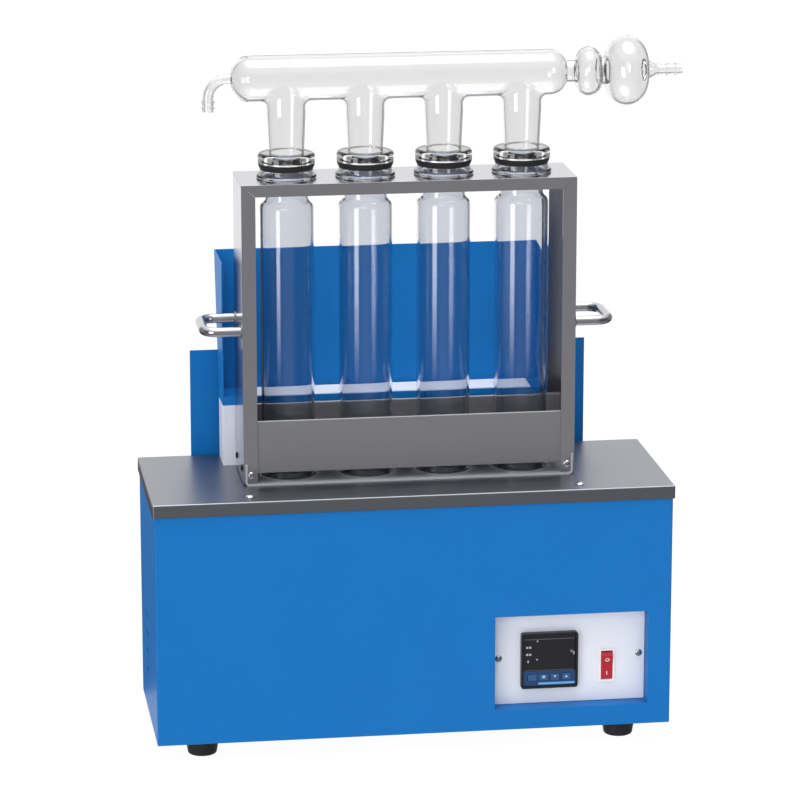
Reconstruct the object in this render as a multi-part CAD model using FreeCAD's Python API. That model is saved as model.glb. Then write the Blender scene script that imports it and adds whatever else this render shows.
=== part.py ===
import FreeCAD, Part
import math
import os

# Block digester: a blue sheet housing with a stainless top plate holds a heating block with four wells.
# A stainless rack that lifts off carries four glass tubes, and a glass fume manifold sits on the tubes.
# Millimetres, +Z up, +Y to the rear. The housing is drawn with x = 0 at its middle, y = 0 at its front
# face and z = 0 at the bench, and every piece is then moved so that the origin is the middle of the
# footprint of the whole object.

# Shared sheet thicknesses, fits and small cuts
PANEL_SHEET = 1.2
RACK_SHEET = 1.2
OVERRUN = 2.0
SHEET_GAP = 0.2
SOFT_GAP = 0.3
THREAD_GAP = 0.1

# Housing
BODY_WIDTH = 430.0
BODY_TOP = 221.5
BODY_UNDERSIDE = 15.5
BODY_FLANGE = 9.0
REAR_FLANGE = 14.0
TOP_LIP = 11.2
PLATE_BEND = PANEL_SHEET + SHEET_GAP
SHELL_BEND = 1.6

# Feet, tapered rubber with a screw in a recess
FOOT_INSET = 39.0
FOOT_X = BODY_WIDTH / 2 - FOOT_INSET
FOOT_Y = 25.0
FOOT_TOP_RADIUS = 14.8
FOOT_BOTTOM_RADIUS = 12.2
FOOT_EDGE = 1.8
FOOT_RECESS_RADIUS = 5.6
FOOT_RECESS_DEPTH = 6.0
FOOT_SCREW_RADIUS = 2.5
FOOT_HEAD_RADIUS = 4.6
FOOT_HEAD_HEIGHT = 3.0
FOOT_NUT_RADIUS = 4.6
FOOT_NUT_HEIGHT = 4.0

# Vent slots
SIDE_VENT_LENGTH = 17.0
SIDE_VENT_HEIGHT = 4.0
SIDE_VENT_Y = 94.0
SIDE_VENT_TOP_Z = 100.0
SIDE_VENT_PITCH = 16.0
SIDE_VENT_COUNT = 4
REAR_VENT_WIDTH = 4.0
REAR_VENT_HEIGHT = 42.0
REAR_VENT_PITCH = 12.0
REAR_VENT_COUNT = 12
REAR_VENT_X = -80.0
REAR_VENT_Z = 70.0
BASE_VENT_LENGTH = 60.0
BASE_VENT_WIDTH = 4.0
BASE_VENT_PITCH = 12.0
BASE_VENT_COUNT = 9
BASE_VENT_X = 0.0

# Control recess at the right of the front face
RECESS_INSET = 84.0
RECESS_X = BODY_WIDTH / 2 - RECESS_INSET
RECESS_Z = 73.4
RECESS_WIDTH = 129.3
RECESS_HEIGHT = 80.8
RECESS_DEPTH = 14.0
PANEL_THICKNESS = 1.5
RECESS_LEDGE = 13.0
PANEL_SCREW_SPACING = 119.0

# Temperature controller
CONTROLLER_X = RECESS_X - 17.0
CONTROLLER_Z = 71.4
CONTROLLER_SIZE = 48.0
CONTROLLER_BEZEL_DEPTH = 5.5
CONTROLLER_CORNER = 2.2
CONTROLLER_CASE_SIZE = 44.6
CONTROLLER_CASE_DEPTH = 76.0
BEZEL_RIM = 1.8
BEZEL_BACK = 1.5
CONTROLLER_FACE_THICKNESS = 1.0
KEY_BAND_HEIGHT = 12.6
KEY_COUNT = 4
KEY_WIDTH = 7.4
KEY_HEIGHT = 5.6
KEY_PITCH = 9.6
KEY_Z_IN_BAND = 7.6
KEY_GAP = 0.3
KEY_PROUD = 0.5
KEY_TRAVEL = 0.6
KEY_THICKNESS = 1.6

# Power rocker switch
SWITCH_X = RECESS_X + 32.5
SWITCH_Z = 63.8
ROCKER_WIDTH = 9.2
ROCKER_RADIUS = 12.2
ROCKER_PIVOT_DEPTH = 3.4
ROCKER_VALLEY = 4.4
ROCKER_HORN = 6.4
ROCKER_BACK = 2.2
ROCKER_BACK_HALF = 6.0
ROCKER_TILT_DEG = 9.0
ROCKER_PIN_RADIUS = 1.0
ROCKER_PIN_GAP = 0.05
ROCKER_GAP = 0.35
SWITCH_RIM = 0.9
SWITCH_RIM_PROUD = 1.2
SWITCH_WALL = 1.0
SWITCH_DEPTH = 16.0

# Heating block under the top plate
TUBE_PITCH = 65.1
TUBE_COUNT = 4
TUBE_RADIUS = 22.2
RACK_X = 1.9
WELL_GAP = 0.8
BLOCK_END_WALL = 10.35
BLOCK_SIDE_WALL = 10.0
BLOCK_HEIGHT = 58.0
BLOCK_DROP = 4.0
WELL_FLOOR_GAP = 0.4
HEATER_END_INSET = 9.0
HEATER_SIDE_INSET = 5.0
HEATER_THICKNESS = 5.0
CLAMP_THICKNESS = 3.0
CLAMP_SCREW_END = 22.0
CLAMP_SCREW_SIDE = 8.0
FIBRE_SIDE = 18.0
FIBRE_FLOOR = 12.0
TRAY_FLANGE_SIDE = 10.0
TRAY_FRONT_GAP = 2.1
TRAY_SCREW_SETBACK = 14.5
TRAY_SCREW_END = 12.0
TRAY_REAR_SCREW_END = 39.0
TRAY_SCREW_EDGE = 13.8
REAR_GAP = 4.3
WELL_COLLAR_WALL = 1.0
PROBE_RADIUS = 2.0
PROBE_BODY_RADIUS = 4.0
PROBE_REACH = 30.0
PROBE_BODY_LENGTH = 12.0
PROBE_DROP = 44.0

# Electrical pieces inside the housing
RELAY_X = -110.0
RELAY_Y = 78.0
RELAY_WIDTH = 45.0
RELAY_LENGTH = 58.0
RELAY_HEIGHT = 23.0
HEAT_SINK_WIDTH = 52.0
HEAT_SINK_LENGTH = 66.0
HEAT_SINK_BASE = 5.0
HEAT_SINK_HEIGHT = 26.0
HEAT_SINK_FINS = 6
HEAT_SINK_FIN = 2.0
TERMINAL_X = 40.0
TERMINAL_Y = 126.0
TERMINAL_LENGTH = 64.0
TERMINAL_DEPTH = 20.0
TERMINAL_HEIGHT = 17.0
TERMINAL_POLES = 5
TERMINAL_POCKET_DEPTH = 5.7
TERMINAL_POCKET_SHARE = 0.33
TERMINAL_ENTRY_HEIGHT = 5.7
INLET_INSET = 65.0
INLET_X = BODY_WIDTH / 2 - INLET_INSET
INLET_Z = 58.0
INLET_FLANGE_WIDTH = 50.0
INLET_FLANGE_HEIGHT = 23.0
INLET_FLANGE_THICKNESS = 3.0
INLET_BODY_WIDTH = 28.0
INLET_BODY_HEIGHT = 20.0
INLET_BODY_DEPTH = 22.0
INLET_MOUTH_WIDTH = 24.4
INLET_MOUTH_HEIGHT = 16.4
INLET_MOUTH_DEPTH = 17.0
INLET_MOUTH_CORNER = 5.0
INLET_PIN_WIDTH = 4.0
INLET_PIN_THICKNESS = 2.0
INLET_PIN_LENGTH = 12.0
INLET_PIN_SPACING = 14.0
INLET_PIN_RISE = 4.0
INLET_SCREW_SPACING = 40.0
FUSE_STEP = 52.0
FUSE_X = INLET_X - FUSE_STEP
FUSE_Z = 58.0
FUSE_BODY_RADIUS = 6.0
FUSE_BODY_LENGTH = 32.0
FUSE_CAP_RADIUS = 7.6
FUSE_CAP_LENGTH = 9.0
EARTH_INSET = 27.0
EARTH_X = BODY_WIDTH / 2 - EARTH_INSET
EARTH_Y = 96.0
EARTH_RADIUS = 2.5
EARTH_HEIGHT = 14.0
EARTH_NUT_RADIUS = 4.4
EARTH_NUT_HEIGHT = 3.4

# Leads inside the housing, with the places that they are tied to on their way
LEAD_RADIUS = 1.25
LEAD_ARC_SHARE = 0.45
LEAD_PLANE_Y = 98.0
LEAD_END_RUN = 24.0
LEAD_STAGGER = 6.0
LEAD_SIDE_STEP = 8.0
HEATER_LEAD_SPACING = 40.0
HEATER_LEAD_GAP = 0.5
HEATER_LEAD_RUN = 44.0
HEATER_LEAD_VIA = [(27.2, 86.0, 66.0)]
SWITCH_LEAD_VIA = [(140.0, 80.0, 40.0), (90.0, 84.0, 24.0)]
PROBE_LEAD_VIA = [(186.0, 96.0, 130.0), (170.0, 110.0, 90.0)]
RELAY_LEAD_VIA = [(62.0, 112.0, 78.0), (10.0, 100.0, 80.0), (-38.0, 74.0, 62.0)]

# Screws
M3_RADIUS = 1.5
M3_HEAD_RADIUS = 3.0
M3_HEAD_HEIGHT = 1.8
M4_RADIUS = 2.0
M4_HEAD_RADIUS = 3.8
M4_HEAD_HEIGHT = 2.4
SCREW_LENGTH = 6.0

# Lift-off rack
RACK_END_SPACE = 40.85
RACK_FRONT_Y = 48.0
RACK_DEPTH = 65.0
RACK_BAR = 10.0
RACK_POST = 11.6
RACK_HOLE_GAP = 1.1
SHELF_HEIGHT = 54.4
SHELF_APRON = 44.5
SHELF_FRONT_SETBACK = 0.2
SHELF_BEND = 2.0
SHELF_HEM = 6.0
TRAY_SHEET = 1.5
TRAY_EAR = 18.0
TRAY_INSET = 1.4
TRAY_PROUD = 1.2
TRAY_BEND = 3.0
LUG_WIDTH = 8.4
LUG_HEIGHT = 14.0
RACK_SCREW_HEIGHT = 9.0
RACK_SCREW_INSET = 6.0
SIDE_SCREW_HEIGHT = 12.6
SIDE_SCREW_INSET = 12.0

# Rack handles
HANDLE_ROD_RADIUS = 4.0
HANDLE_SPACING = 52.0
HANDLE_REACH = 30.2
HANDLE_HEIGHT = 129.4
HANDLE_BEND = 12.0

# Digestion tube, heights above the top plate of the housing
TUBE_LENGTH = 300.0
TUBE_IMMERSION = 40.7
TUBE_WALL = 2.0
TUBE_RIM_HEIGHT = 7.3
TUBE_RIM_RADIUS = TUBE_RADIUS - 0.3
TUBE_NECK_RADIUS = TUBE_RADIUS - 4.35
TUBE_COLLAR_RADIUS = TUBE_RADIUS + 2.6
TUBE_COLLAR_HEIGHT = 3.0
TUBE_COLLAR_UNDER_RADIUS = TUBE_RADIUS - 0.4
TUBE_SHOULDER_BELOW = 26.0
TUBE_SHOULDER_RISE = 10.0
TUBE_NECK_BELOW = 9.0
SHOULDER_BULGE_SHARE = 0.167
FLARE_BULGE_SHARE = 0.333

# Seal ring and glass manifold
SEAL_HEIGHT = 5.3
SEAL_TOP_RADIUS = 23.5
SEAL_BOTTOM_RADIUS = 21.6
SEAL_BULGE_SHARE = 0.25
CAP_HEIGHT = 8.2
CAP_RADIUS = 23.6
CAP_SHOULDER = 3.0
SPIGOT_RADIUS = 14.2
SPIGOT_LENGTH = 16.0
GLASS_WALL = 1.8
MANIFOLD_RISE = 82.0
MAIN_RADIUS = 18.85
MAIN_LEFT_END = 142.3
MAIN_LEFT_TAPER = 13.4
MAIN_RIGHT_END = 134.1
MAIN_RIGHT_TAPER = 12.4
LEFT_SHOULDER_RUN_SHARE = 0.32
LEFT_SHOULDER_RISE_SHARE = 0.68
RIGHT_SHOULDER_RUN_SHARE = 0.6
RIGHT_SHOULDER_RISE_SHARE = 0.7
ARM_BOTTOM_RADIUS = 14.6
ARM_JOINT_BELOW = 30.0
ARM_ROOT_RADIUS = 16.0
ARM_FILLET = 5.0
ARM_START_BELOW = 6.3
ARM_ROOT_BELOW = 4.7
NECK_RADIUS = 9.0
NECK_LENGTH = 8.2
SMALL_BULB_WIDTH = 21.0
SMALL_BULB_RADIUS = 20.2
SECOND_NECK_RADIUS = 11.4
SECOND_NECK_LENGTH = 4.8
BIG_BULB_WIDTH = 33.2
BIG_BULB_RADIUS = 28.9
CONE_LENGTH = 8.4
CONE_START_RADIUS = 9.3
BARB_RADIUS = 4.0
BARB_RIDGE_RADIUS = 5.0
BARB_LENGTH = 21.8
BARB_RIDGES = 3
BARB_BORE_RADIUS = 2.6
BARB_RIDGE_SHARE = 0.6
BARB_FIRST_SHARE = 0.15
HOOK_ROOT_RADIUS = 6.0
HOOK_RADIUS = 4.5
HOOK_BORE_RADIUS = 3.0
HOOK_BEND = 16.0
HOOK_RUN = 3.0
HOOK_DROP = 10.5
HOOK_BORE_REACH = 9.4
HOOK_RIDGE_RADIUS = 5.5
HOOK_RIDGE_LENGTH = 3.0
HOOK_RIDGE_FIRST = 3.6
HOOK_RIDGE_PITCH = 4.8
HOOK_RIDGES = 2

# Heat shield, its support box and the rear guard
SHIELD_LEFT = 147.0
SHIELD_RIGHT = 136.0
SHIELD_FRONT_GAP = 2.3
SUPPORT_DEPTH = 31.7
SUPPORT_HEIGHT = 52.0
SUPPORT_FOOT = 9.0
SHIELD_FLOOR_RISE = 7.0
SHIELD_HEIGHT = 121.5
SHIELD_LEAN = 29.0
STRIP_INSET = 19.5
STRIP_THICKNESS = 0.8
STRIP_EDGE_GAP = 1.0
GUARD_HALF_WIDTH = 170.0
GUARD_HEIGHT = 89.5
GUARD_STEP = 8.0
GUARD_FOOT = 34.0
GUARD_DROP = 16.0
GUARD_SCREW_SPACING = 300.0

# Places worked out from the sizes above
BODY_HALF = BODY_WIDTH / 2
PLATE_UNDER = BODY_TOP - PANEL_SHEET
TOP_OVERHANG = PANEL_SHEET + SHEET_GAP
BASE_TOP = BODY_UNDERSIDE + PANEL_SHEET
TUBE_SPAN = TUBE_PITCH * (TUBE_COUNT - 1)
WELL_RADIUS = TUBE_RADIUS + WELL_GAP
BLOCK_LENGTH = TUBE_SPAN + 2 * (WELL_RADIUS + BLOCK_END_WALL)
BLOCK_DEPTH = 2 * (WELL_RADIUS + BLOCK_SIDE_WALL)
HEATER_LENGTH = BLOCK_LENGTH - 2 * HEATER_END_INSET
HEATER_DEPTH = BLOCK_DEPTH - 2 * HEATER_SIDE_INSET
CLAMP_SCREW_SPACING_X = HEATER_LENGTH - 2 * CLAMP_SCREW_END
CLAMP_SCREW_SPACING_Y = HEATER_DEPTH - 2 * CLAMP_SCREW_SIDE
FIBRE_HALF_X = BLOCK_LENGTH / 2 + FIBRE_SIDE
FIBRE_HALF_Y = BLOCK_DEPTH / 2 + FIBRE_SIDE
TUBE_Y = RACK_FRONT_Y + RACK_DEPTH / 2
BODY_DEPTH = TUBE_Y + FIBRE_HALF_Y + 2 * PANEL_SHEET + TRAY_SCREW_EDGE + REAR_GAP
RACK_WIDTH = TUBE_SPAN + 2 * RACK_END_SPACE
RACK_HOLE_RADIUS = TUBE_RADIUS + RACK_HOLE_GAP
RACK_HEIGHT = TUBE_LENGTH - TUBE_IMMERSION - TUBE_RIM_HEIGHT
RACK_LEFT = RACK_X - RACK_WIDTH / 2
RACK_RIGHT = RACK_X + RACK_WIDTH / 2
RACK_BACK_Y = RACK_FRONT_Y + RACK_DEPTH
RACK_TOP = BODY_TOP + RACK_HEIGHT
TUBE_XS = [RACK_X + TUBE_PITCH * i - TUBE_SPAN / 2 for i in range(TUBE_COUNT)]
TUBE_TOP = RACK_TOP + TUBE_RIM_HEIGHT
TUBE_BOTTOM = TUBE_TOP - TUBE_LENGTH
SEAL_TOP = TUBE_TOP + SEAL_HEIGHT
CAP_TOP = SEAL_TOP + CAP_HEIGHT
MAIN_Z = RACK_TOP + MANIFOLD_RISE
BLOCK_TOP = PLATE_UNDER - BLOCK_DROP
BLOCK_BOTTOM = BLOCK_TOP - BLOCK_HEIGHT
HEATER_BOTTOM = BLOCK_BOTTOM - HEATER_THICKNESS
CLAMP_BOTTOM = HEATER_BOTTOM - CLAMP_THICKNESS
FIBRE_BOTTOM = CLAMP_BOTTOM - FIBRE_FLOOR
SHIELD_FRONT = RACK_BACK_Y + SHIELD_FRONT_GAP
SHIELD_BACK = SHIELD_FRONT + SUPPORT_DEPTH
SUPPORT_TOP = BODY_TOP + SUPPORT_HEIGHT
SHIELD_FLOOR = SUPPORT_TOP + SHIELD_FLOOR_RISE
SHIELD_TOP = SUPPORT_TOP + SHIELD_HEIGHT
SMALL_BULB_START = MAIN_RIGHT_END + RACK_X + NECK_LENGTH
SMALL_BULB_END = SMALL_BULB_START + SMALL_BULB_WIDTH
BIG_BULB_START = SMALL_BULB_END + SECOND_NECK_LENGTH
BIG_BULB_END = BIG_BULB_START + BIG_BULB_WIDTH
BARB_START = BIG_BULB_END + CONE_LENGTH
BARB_END = BARB_START + BARB_LENGTH
PANEL_BACK_Y = RECESS_DEPTH + PANEL_THICKNESS
BAND_BOTTOM = CONTROLLER_Z - CONTROLLER_SIZE / 2 + BEZEL_RIM
KEY_Z = BAND_BOTTOM + KEY_Z_IN_BAND
FACE_BACK_Y = RECESS_DEPTH - BEZEL_BACK
FACE_FRONT_Y = FACE_BACK_Y - CONTROLLER_FACE_THICKNESS
PIVOT_Y = RECESS_DEPTH + ROCKER_PIVOT_DEPTH
REAR_Y = BODY_DEPTH
GUARD_Y = REAR_Y + TOP_OVERHANG + GUARD_STEP

LEFT_REACH = -(BODY_HALF + TOP_OVERHANG)
FRONT_REACH = -TOP_OVERHANG
REAR_REACH = SHIELD_BACK + SHIELD_LEAN
ORIGIN = FreeCAD.Vector((LEFT_REACH + BARB_END) / 2, (FRONT_REACH + REAR_REACH) / 2, 0)

X_AXIS = FreeCAD.Vector(1, 0, 0)
Y_AXIS = FreeCAD.Vector(0, 1, 0)
Z_AXIS = FreeCAD.Vector(0, 0, 1)


def at(x, y, z):
    """Returns the point x, y, z."""
    return FreeCAD.Vector(x, y, z)


def block(x0, x1, y0, y1, z0, z1):
    """Returns a box between two corners."""
    return Part.makeBox(x1 - x0, y1 - y0, z1 - z0, at(x0, y0, z0))


def rod(radius, length, start, axis):
    """Returns a cylinder from start along axis."""
    return Part.makeCylinder(radius, length, start, axis)


def join(shapes):
    """Returns the shapes fused into one, without the seams between them."""
    first = shapes[0]
    if len(shapes) == 1:
        return first
    return first.fuse(shapes[1:]).removeSplitter()


def group(shapes):
    """Returns separate solids kept together as one node."""
    return Part.makeCompound(shapes)


def prism(points, direction):
    """Returns the solid that a closed outline sweeps along direction."""
    outline = Part.makePolygon(points + [points[0]])
    return Part.Face(outline).extrude(direction)


def prism_x(outline, x0, x1):
    """Returns a prism along X of an outline of (y, z) points."""
    return prism([at(x0, y, z) for y, z in outline], at(x1 - x0, 0, 0))


def prism_y(outline, y0, y1):
    """Returns a prism along Y of an outline of (x, z) points."""
    return prism([at(x, y0, z) for x, z in outline], at(0, y1 - y0, 0))


def rounded_y(x0, x1, z0, z1, y0, y1, radius):
    """Returns a block whose four edges along Y are rounded."""
    shape = block(x0, x1, y0, y1, z0, z1)
    edges = [e for e in shape.Edges if e.BoundBox.YLength > (y1 - y0) / 2]
    return shape.makeFillet(radius, edges)


def folded_block(x0, x1, y0, y1, z0, z1, radius, is_fold):
    """Returns a block whose edges are rounded wherever is_fold says so of their bounding box."""
    shape = block(x0, x1, y0, y1, z0, z1)
    edges = [e for e in shape.Edges if is_fold(e.BoundBox)]
    return shape.makeFillet(radius, edges)


def lathe(path, place, centre, axis):
    """Returns the solid of revolution of a path.

    The path is a list of points (height, radius) along and away from the axis. An entry of two such
    points is an arc through the first to the second. place maps (height, radius) to a point.
    """
    edges = []
    here = path[0]
    for step in path[1:]:
        if isinstance(step[0], tuple):
            through, end = step
            edges.append(Part.Arc(place(*here), place(*through), place(*end)).toShape())
        else:
            end = step
            edges.append(Part.makeLine(place(*here), place(*end)))
        here = end
    if here != path[0]:
        edges.append(Part.makeLine(place(*here), place(*path[0])))
    wire = Part.Wire(edges)
    solid = Part.Face(wire).revolve(centre, axis, math.degrees(2 * math.pi))
    if solid.Volume < 0:
        solid.reverse()
    return solid


def lathe_z(path, x, y):
    """Returns a solid of revolution about the vertical line at x, y."""
    return lathe(path, lambda z, r: at(x + r, y, z), at(x, y, 0), Z_AXIS)


def lathe_x(path, y, z):
    """Returns a solid of revolution about the line along X at y, z."""
    return lathe(path, lambda x, r: at(x, y, z + r), at(0, y, z), X_AXIS)


def dome_screw(x, y, z, axis, radius, head_radius, head_height, length):
    """Returns a dome head screw whose head sits at a point and faces along axis."""
    seat = at(x, y, z)
    across = at(axis.y, axis.z, axis.x)
    sphere_radius = (head_radius ** 2 + head_height ** 2) / (2 * head_height)
    middle = math.asin(head_radius / sphere_radius) / 2
    through = (head_height - sphere_radius + sphere_radius * math.cos(middle), sphere_radius * math.sin(middle))
    path = [(-length, 0), (-length, radius), (0, radius), (0, head_radius), (through, (head_height, 0))]
    return lathe(path, lambda height, r: seat + axis * height + across * r, seat, axis)


def drilled(shape, radius, points, axis, depth):
    """Returns the shape with round holes through depth along axis, both ways from each point."""
    tools = [rod(radius, 2 * depth, p - axis * depth, axis) for p in points]
    return shape.cut(tools)


def bent_rod(points, bends, radius):
    """Returns a round rod along straight runs joined by tangent arcs."""
    edges = []
    here = points[0]
    for i in range(1, len(points) - 1):
        corner = points[i]
        back = (points[i - 1] - corner).normalize()
        ahead = (points[i + 1] - corner).normalize()
        angle = math.pi - back.getAngle(ahead)
        reach = bends[i - 1] * math.tan(angle / 2)
        start = corner + back * reach
        end = corner + ahead * reach
        middle = (back + ahead).normalize()
        centre = corner + middle * (bends[i - 1] / math.cos(angle / 2))
        through = centre - middle * bends[i - 1]
        edges.append(Part.makeLine(here, start))
        edges.append(Part.Arc(start, through, end).toShape())
        here = end
    edges.append(Part.makeLine(here, points[-1]))
    path = Part.Wire(edges)
    direction = (points[1] - points[0]).normalize()
    section = Part.Wire([Part.makeCircle(radius, points[0], direction)])
    return path.makePipeShell([section], True, True)


def held_lead(points):
    """Returns a wire whose arcs are as large as its runs allow, and prints its radii."""
    bends = []
    for i in range(1, len(points) - 1):
        run = min((points[i] - points[i - 1]).Length, (points[i + 1] - points[i]).Length)
        turn = math.pi - (points[i - 1] - points[i]).getAngle(points[i + 1] - points[i])
        bends.append(LEAD_ARC_SHARE * run / math.tan(turn / 2))
    print("lead radii", [round(b, 1) for b in bends])
    return bent_rod(points, bends, LEAD_RADIUS)


def four_places(half_x, y_low, y_high):
    """Returns the four corners of a rectangle about x = 0."""
    return [(sx * half_x, y) for sx in (-1, 1) for y in (y_low, y_high)]


def foot_places():
    """Returns the x, y of the four feet."""
    return four_places(FOOT_X, FOOT_Y, BODY_DEPTH - FOOT_Y)


def tray_screw_places():
    """Returns the x, y of the screws that hang the block tray from the top plate."""
    rear = TUBE_Y + FIBRE_HALF_Y + PANEL_SHEET + TRAY_SCREW_EDGE / 2
    places = [(RACK_X + s * (FIBRE_HALF_X - TRAY_SCREW_END), TRAY_SCREW_SETBACK) for s in (-1, 1)]
    places += [(RACK_X + s * (FIBRE_HALF_X - TRAY_REAR_SCREW_END), rear) for s in (-1, 1)]
    return places


def rear_screw_places():
    """Returns the x, z of the screws round the edge of the rear panel."""
    low = BASE_TOP + REAR_FLANGE
    high = BODY_TOP - TOP_LIP - REAR_FLANGE
    half = BODY_HALF - REAR_FLANGE / 2
    return [(s * half, z) for s in (-1, 1) for z in (low, (low + high) / 2, high)]


def guard_screw_places():
    """Returns the x, z of the screws that hold the rear guard."""
    z = BODY_TOP - GUARD_DROP - GUARD_FOOT / 2
    return [(s * GUARD_SCREW_SPACING / 2, z) for s in (-1, 1)]


def panel_screw_places():
    """Returns the x, z of the two control panel screws."""
    return [(RECESS_X + s * PANEL_SCREW_SPACING / 2, RECESS_Z) for s in (-1, 1)]


def key_places():
    """Returns the x of each controller key."""
    return [CONTROLLER_X + KEY_PITCH * (i - (KEY_COUNT - 1) / 2) for i in range(KEY_COUNT)]


def body_shell():
    """Front and side walls in one folded sheet, with inward flanges and the panel cut-out."""
    top = PLATE_UNDER
    rear = REAR_Y - PANEL_SHEET
    inner = BODY_HALF - PANEL_SHEET
    shell = folded_block(-BODY_HALF, BODY_HALF, 0, rear, BODY_UNDERSIDE, top, SHELL_BEND,
                         lambda box: box.ZLength > TOP_LIP and box.YMax < PANEL_SHEET)
    shell = shell.cut(folded_block(-inner, inner, PANEL_SHEET, rear + OVERRUN, BODY_UNDERSIDE - OVERRUN,
                                   top + OVERRUN, SHELL_BEND - PANEL_SHEET,
                                   lambda box: box.ZLength > TOP_LIP and box.YMax < 2 * PANEL_SHEET))
    low = BODY_UNDERSIDE + PANEL_SHEET
    flange = block(-inner, inner, PANEL_SHEET, rear, BODY_UNDERSIDE, low)
    reach = BODY_HALF - PANEL_SHEET - BODY_FLANGE
    flange = flange.cut(block(-reach, reach, PANEL_SHEET + BODY_FLANGE, rear + OVERRUN,
                              BODY_UNDERSIDE - OVERRUN, low + OVERRUN))
    pieces = [shell, flange]
    for side in (-1, 1):
        x0, x1 = sorted((side * inner, side * (inner - REAR_FLANGE)))
        pieces.append(block(x0, x1, rear - PANEL_SHEET, rear, BODY_UNDERSIDE, top))
    shell = join(pieces)
    shell = shell.cut(block(RECESS_X - RECESS_WIDTH / 2, RECESS_X + RECESS_WIDTH / 2, -OVERRUN,
                            PANEL_SHEET + OVERRUN, RECESS_Z - RECESS_HEIGHT / 2, RECESS_Z + RECESS_HEIGHT / 2))
    slots = []
    for i in range(SIDE_VENT_COUNT):
        z = SIDE_VENT_TOP_Z - i * SIDE_VENT_PITCH
        slots.append(block(-BODY_HALF - OVERRUN, BODY_HALF + OVERRUN, SIDE_VENT_Y - SIDE_VENT_LENGTH / 2,
                           SIDE_VENT_Y + SIDE_VENT_LENGTH / 2, z - SIDE_VENT_HEIGHT / 2, z + SIDE_VENT_HEIGHT / 2))
    shell = shell.cut(slots)
    holes = [at(x, rear, z) for x, z in rear_screw_places()]
    return drilled(shell, M3_RADIUS + THREAD_GAP, holes, Y_AXIS, PANEL_SHEET + OVERRUN)


def bottom_plate():
    """Base sheet that lies on the lower flanges, with vent slots and holes for the foot screws."""
    half = BODY_HALF - PANEL_SHEET - SHEET_GAP
    rear = REAR_Y - 2 * PANEL_SHEET - SHEET_GAP
    plate = block(-half, half, PANEL_SHEET + SHEET_GAP, rear, BASE_TOP, BASE_TOP + PANEL_SHEET)
    slots = []
    for i in range(BASE_VENT_COUNT):
        x = BASE_VENT_X + BASE_VENT_PITCH * (i - (BASE_VENT_COUNT - 1) / 2)
        slots.append(block(x - BASE_VENT_WIDTH / 2, x + BASE_VENT_WIDTH / 2, BODY_DEPTH / 2 - BASE_VENT_LENGTH / 2,
                           BODY_DEPTH / 2 + BASE_VENT_LENGTH / 2, BASE_TOP - OVERRUN, BASE_TOP + 2 * OVERRUN))
    plate = plate.cut(slots)
    holes = [at(x, y, BASE_TOP) for x, y in foot_places()]
    return drilled(plate, FOOT_SCREW_RADIUS + THREAD_GAP, holes, Z_AXIS, PANEL_SHEET + OVERRUN)


def rear_panel():
    """Back sheet with a vent grid and cut-outs for the inlet and the fuse holder."""
    y0 = REAR_Y - PANEL_SHEET
    panel = block(-BODY_HALF, BODY_HALF, y0, REAR_Y, BODY_UNDERSIDE, PLATE_UNDER)
    cuts = [block(INLET_X - INLET_BODY_WIDTH / 2 - SHEET_GAP, INLET_X + INLET_BODY_WIDTH / 2 + SHEET_GAP,
                  y0 - OVERRUN, REAR_Y + OVERRUN, INLET_Z - INLET_BODY_HEIGHT / 2 - SHEET_GAP,
                  INLET_Z + INLET_BODY_HEIGHT / 2 + SHEET_GAP)]
    for i in range(REAR_VENT_COUNT):
        x = REAR_VENT_X + REAR_VENT_PITCH * (i - (REAR_VENT_COUNT - 1) / 2)
        cuts.append(block(x - REAR_VENT_WIDTH / 2, x + REAR_VENT_WIDTH / 2, y0 - OVERRUN, REAR_Y + OVERRUN,
                          REAR_VENT_Z - REAR_VENT_HEIGHT / 2, REAR_VENT_Z + REAR_VENT_HEIGHT / 2))
    panel = panel.cut(cuts)
    panel = drilled(panel, FUSE_BODY_RADIUS + THREAD_GAP, [at(FUSE_X, REAR_Y, FUSE_Z)], Y_AXIS, PANEL_SHEET + OVERRUN)
    small = rear_screw_places() + guard_screw_places()
    small += [(INLET_X + s * INLET_SCREW_SPACING / 2, INLET_Z) for s in (-1, 1)]
    return drilled(panel, M3_RADIUS + THREAD_GAP, [at(x, REAR_Y, z) for x, z in small], Y_AXIS, PANEL_SHEET + OVERRUN)


def top_plate():
    """Stainless top sheet with a folded lip, four tube holes and the tray screw holes."""
    x0 = -BODY_HALF - TOP_OVERHANG
    y0 = -TOP_OVERHANG
    y1 = BODY_DEPTH + TOP_OVERHANG
    low = BODY_TOP - TOP_LIP
    plate = folded_block(x0, -x0, y0, y1, low, BODY_TOP, PLATE_BEND, lambda box: box.ZMax > BODY_TOP - SHEET_GAP)
    plate = plate.cut(folded_block(x0 + PANEL_SHEET, -x0 - PANEL_SHEET, y0 + PANEL_SHEET, y1 - PANEL_SHEET,
                                   low - OVERRUN, PLATE_UNDER, PLATE_BEND - PANEL_SHEET,
                                   lambda box: box.ZMax > PLATE_UNDER - SHEET_GAP))
    plate = drilled(plate, WELL_RADIUS, [at(x, TUBE_Y, BODY_TOP) for x in TUBE_XS], Z_AXIS, PANEL_SHEET + OVERRUN)
    holes = [at(x, y, BODY_TOP) for x, y in tray_screw_places()]
    return drilled(plate, M4_RADIUS + THREAD_GAP, holes, Z_AXIS, PANEL_SHEET + OVERRUN)


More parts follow.
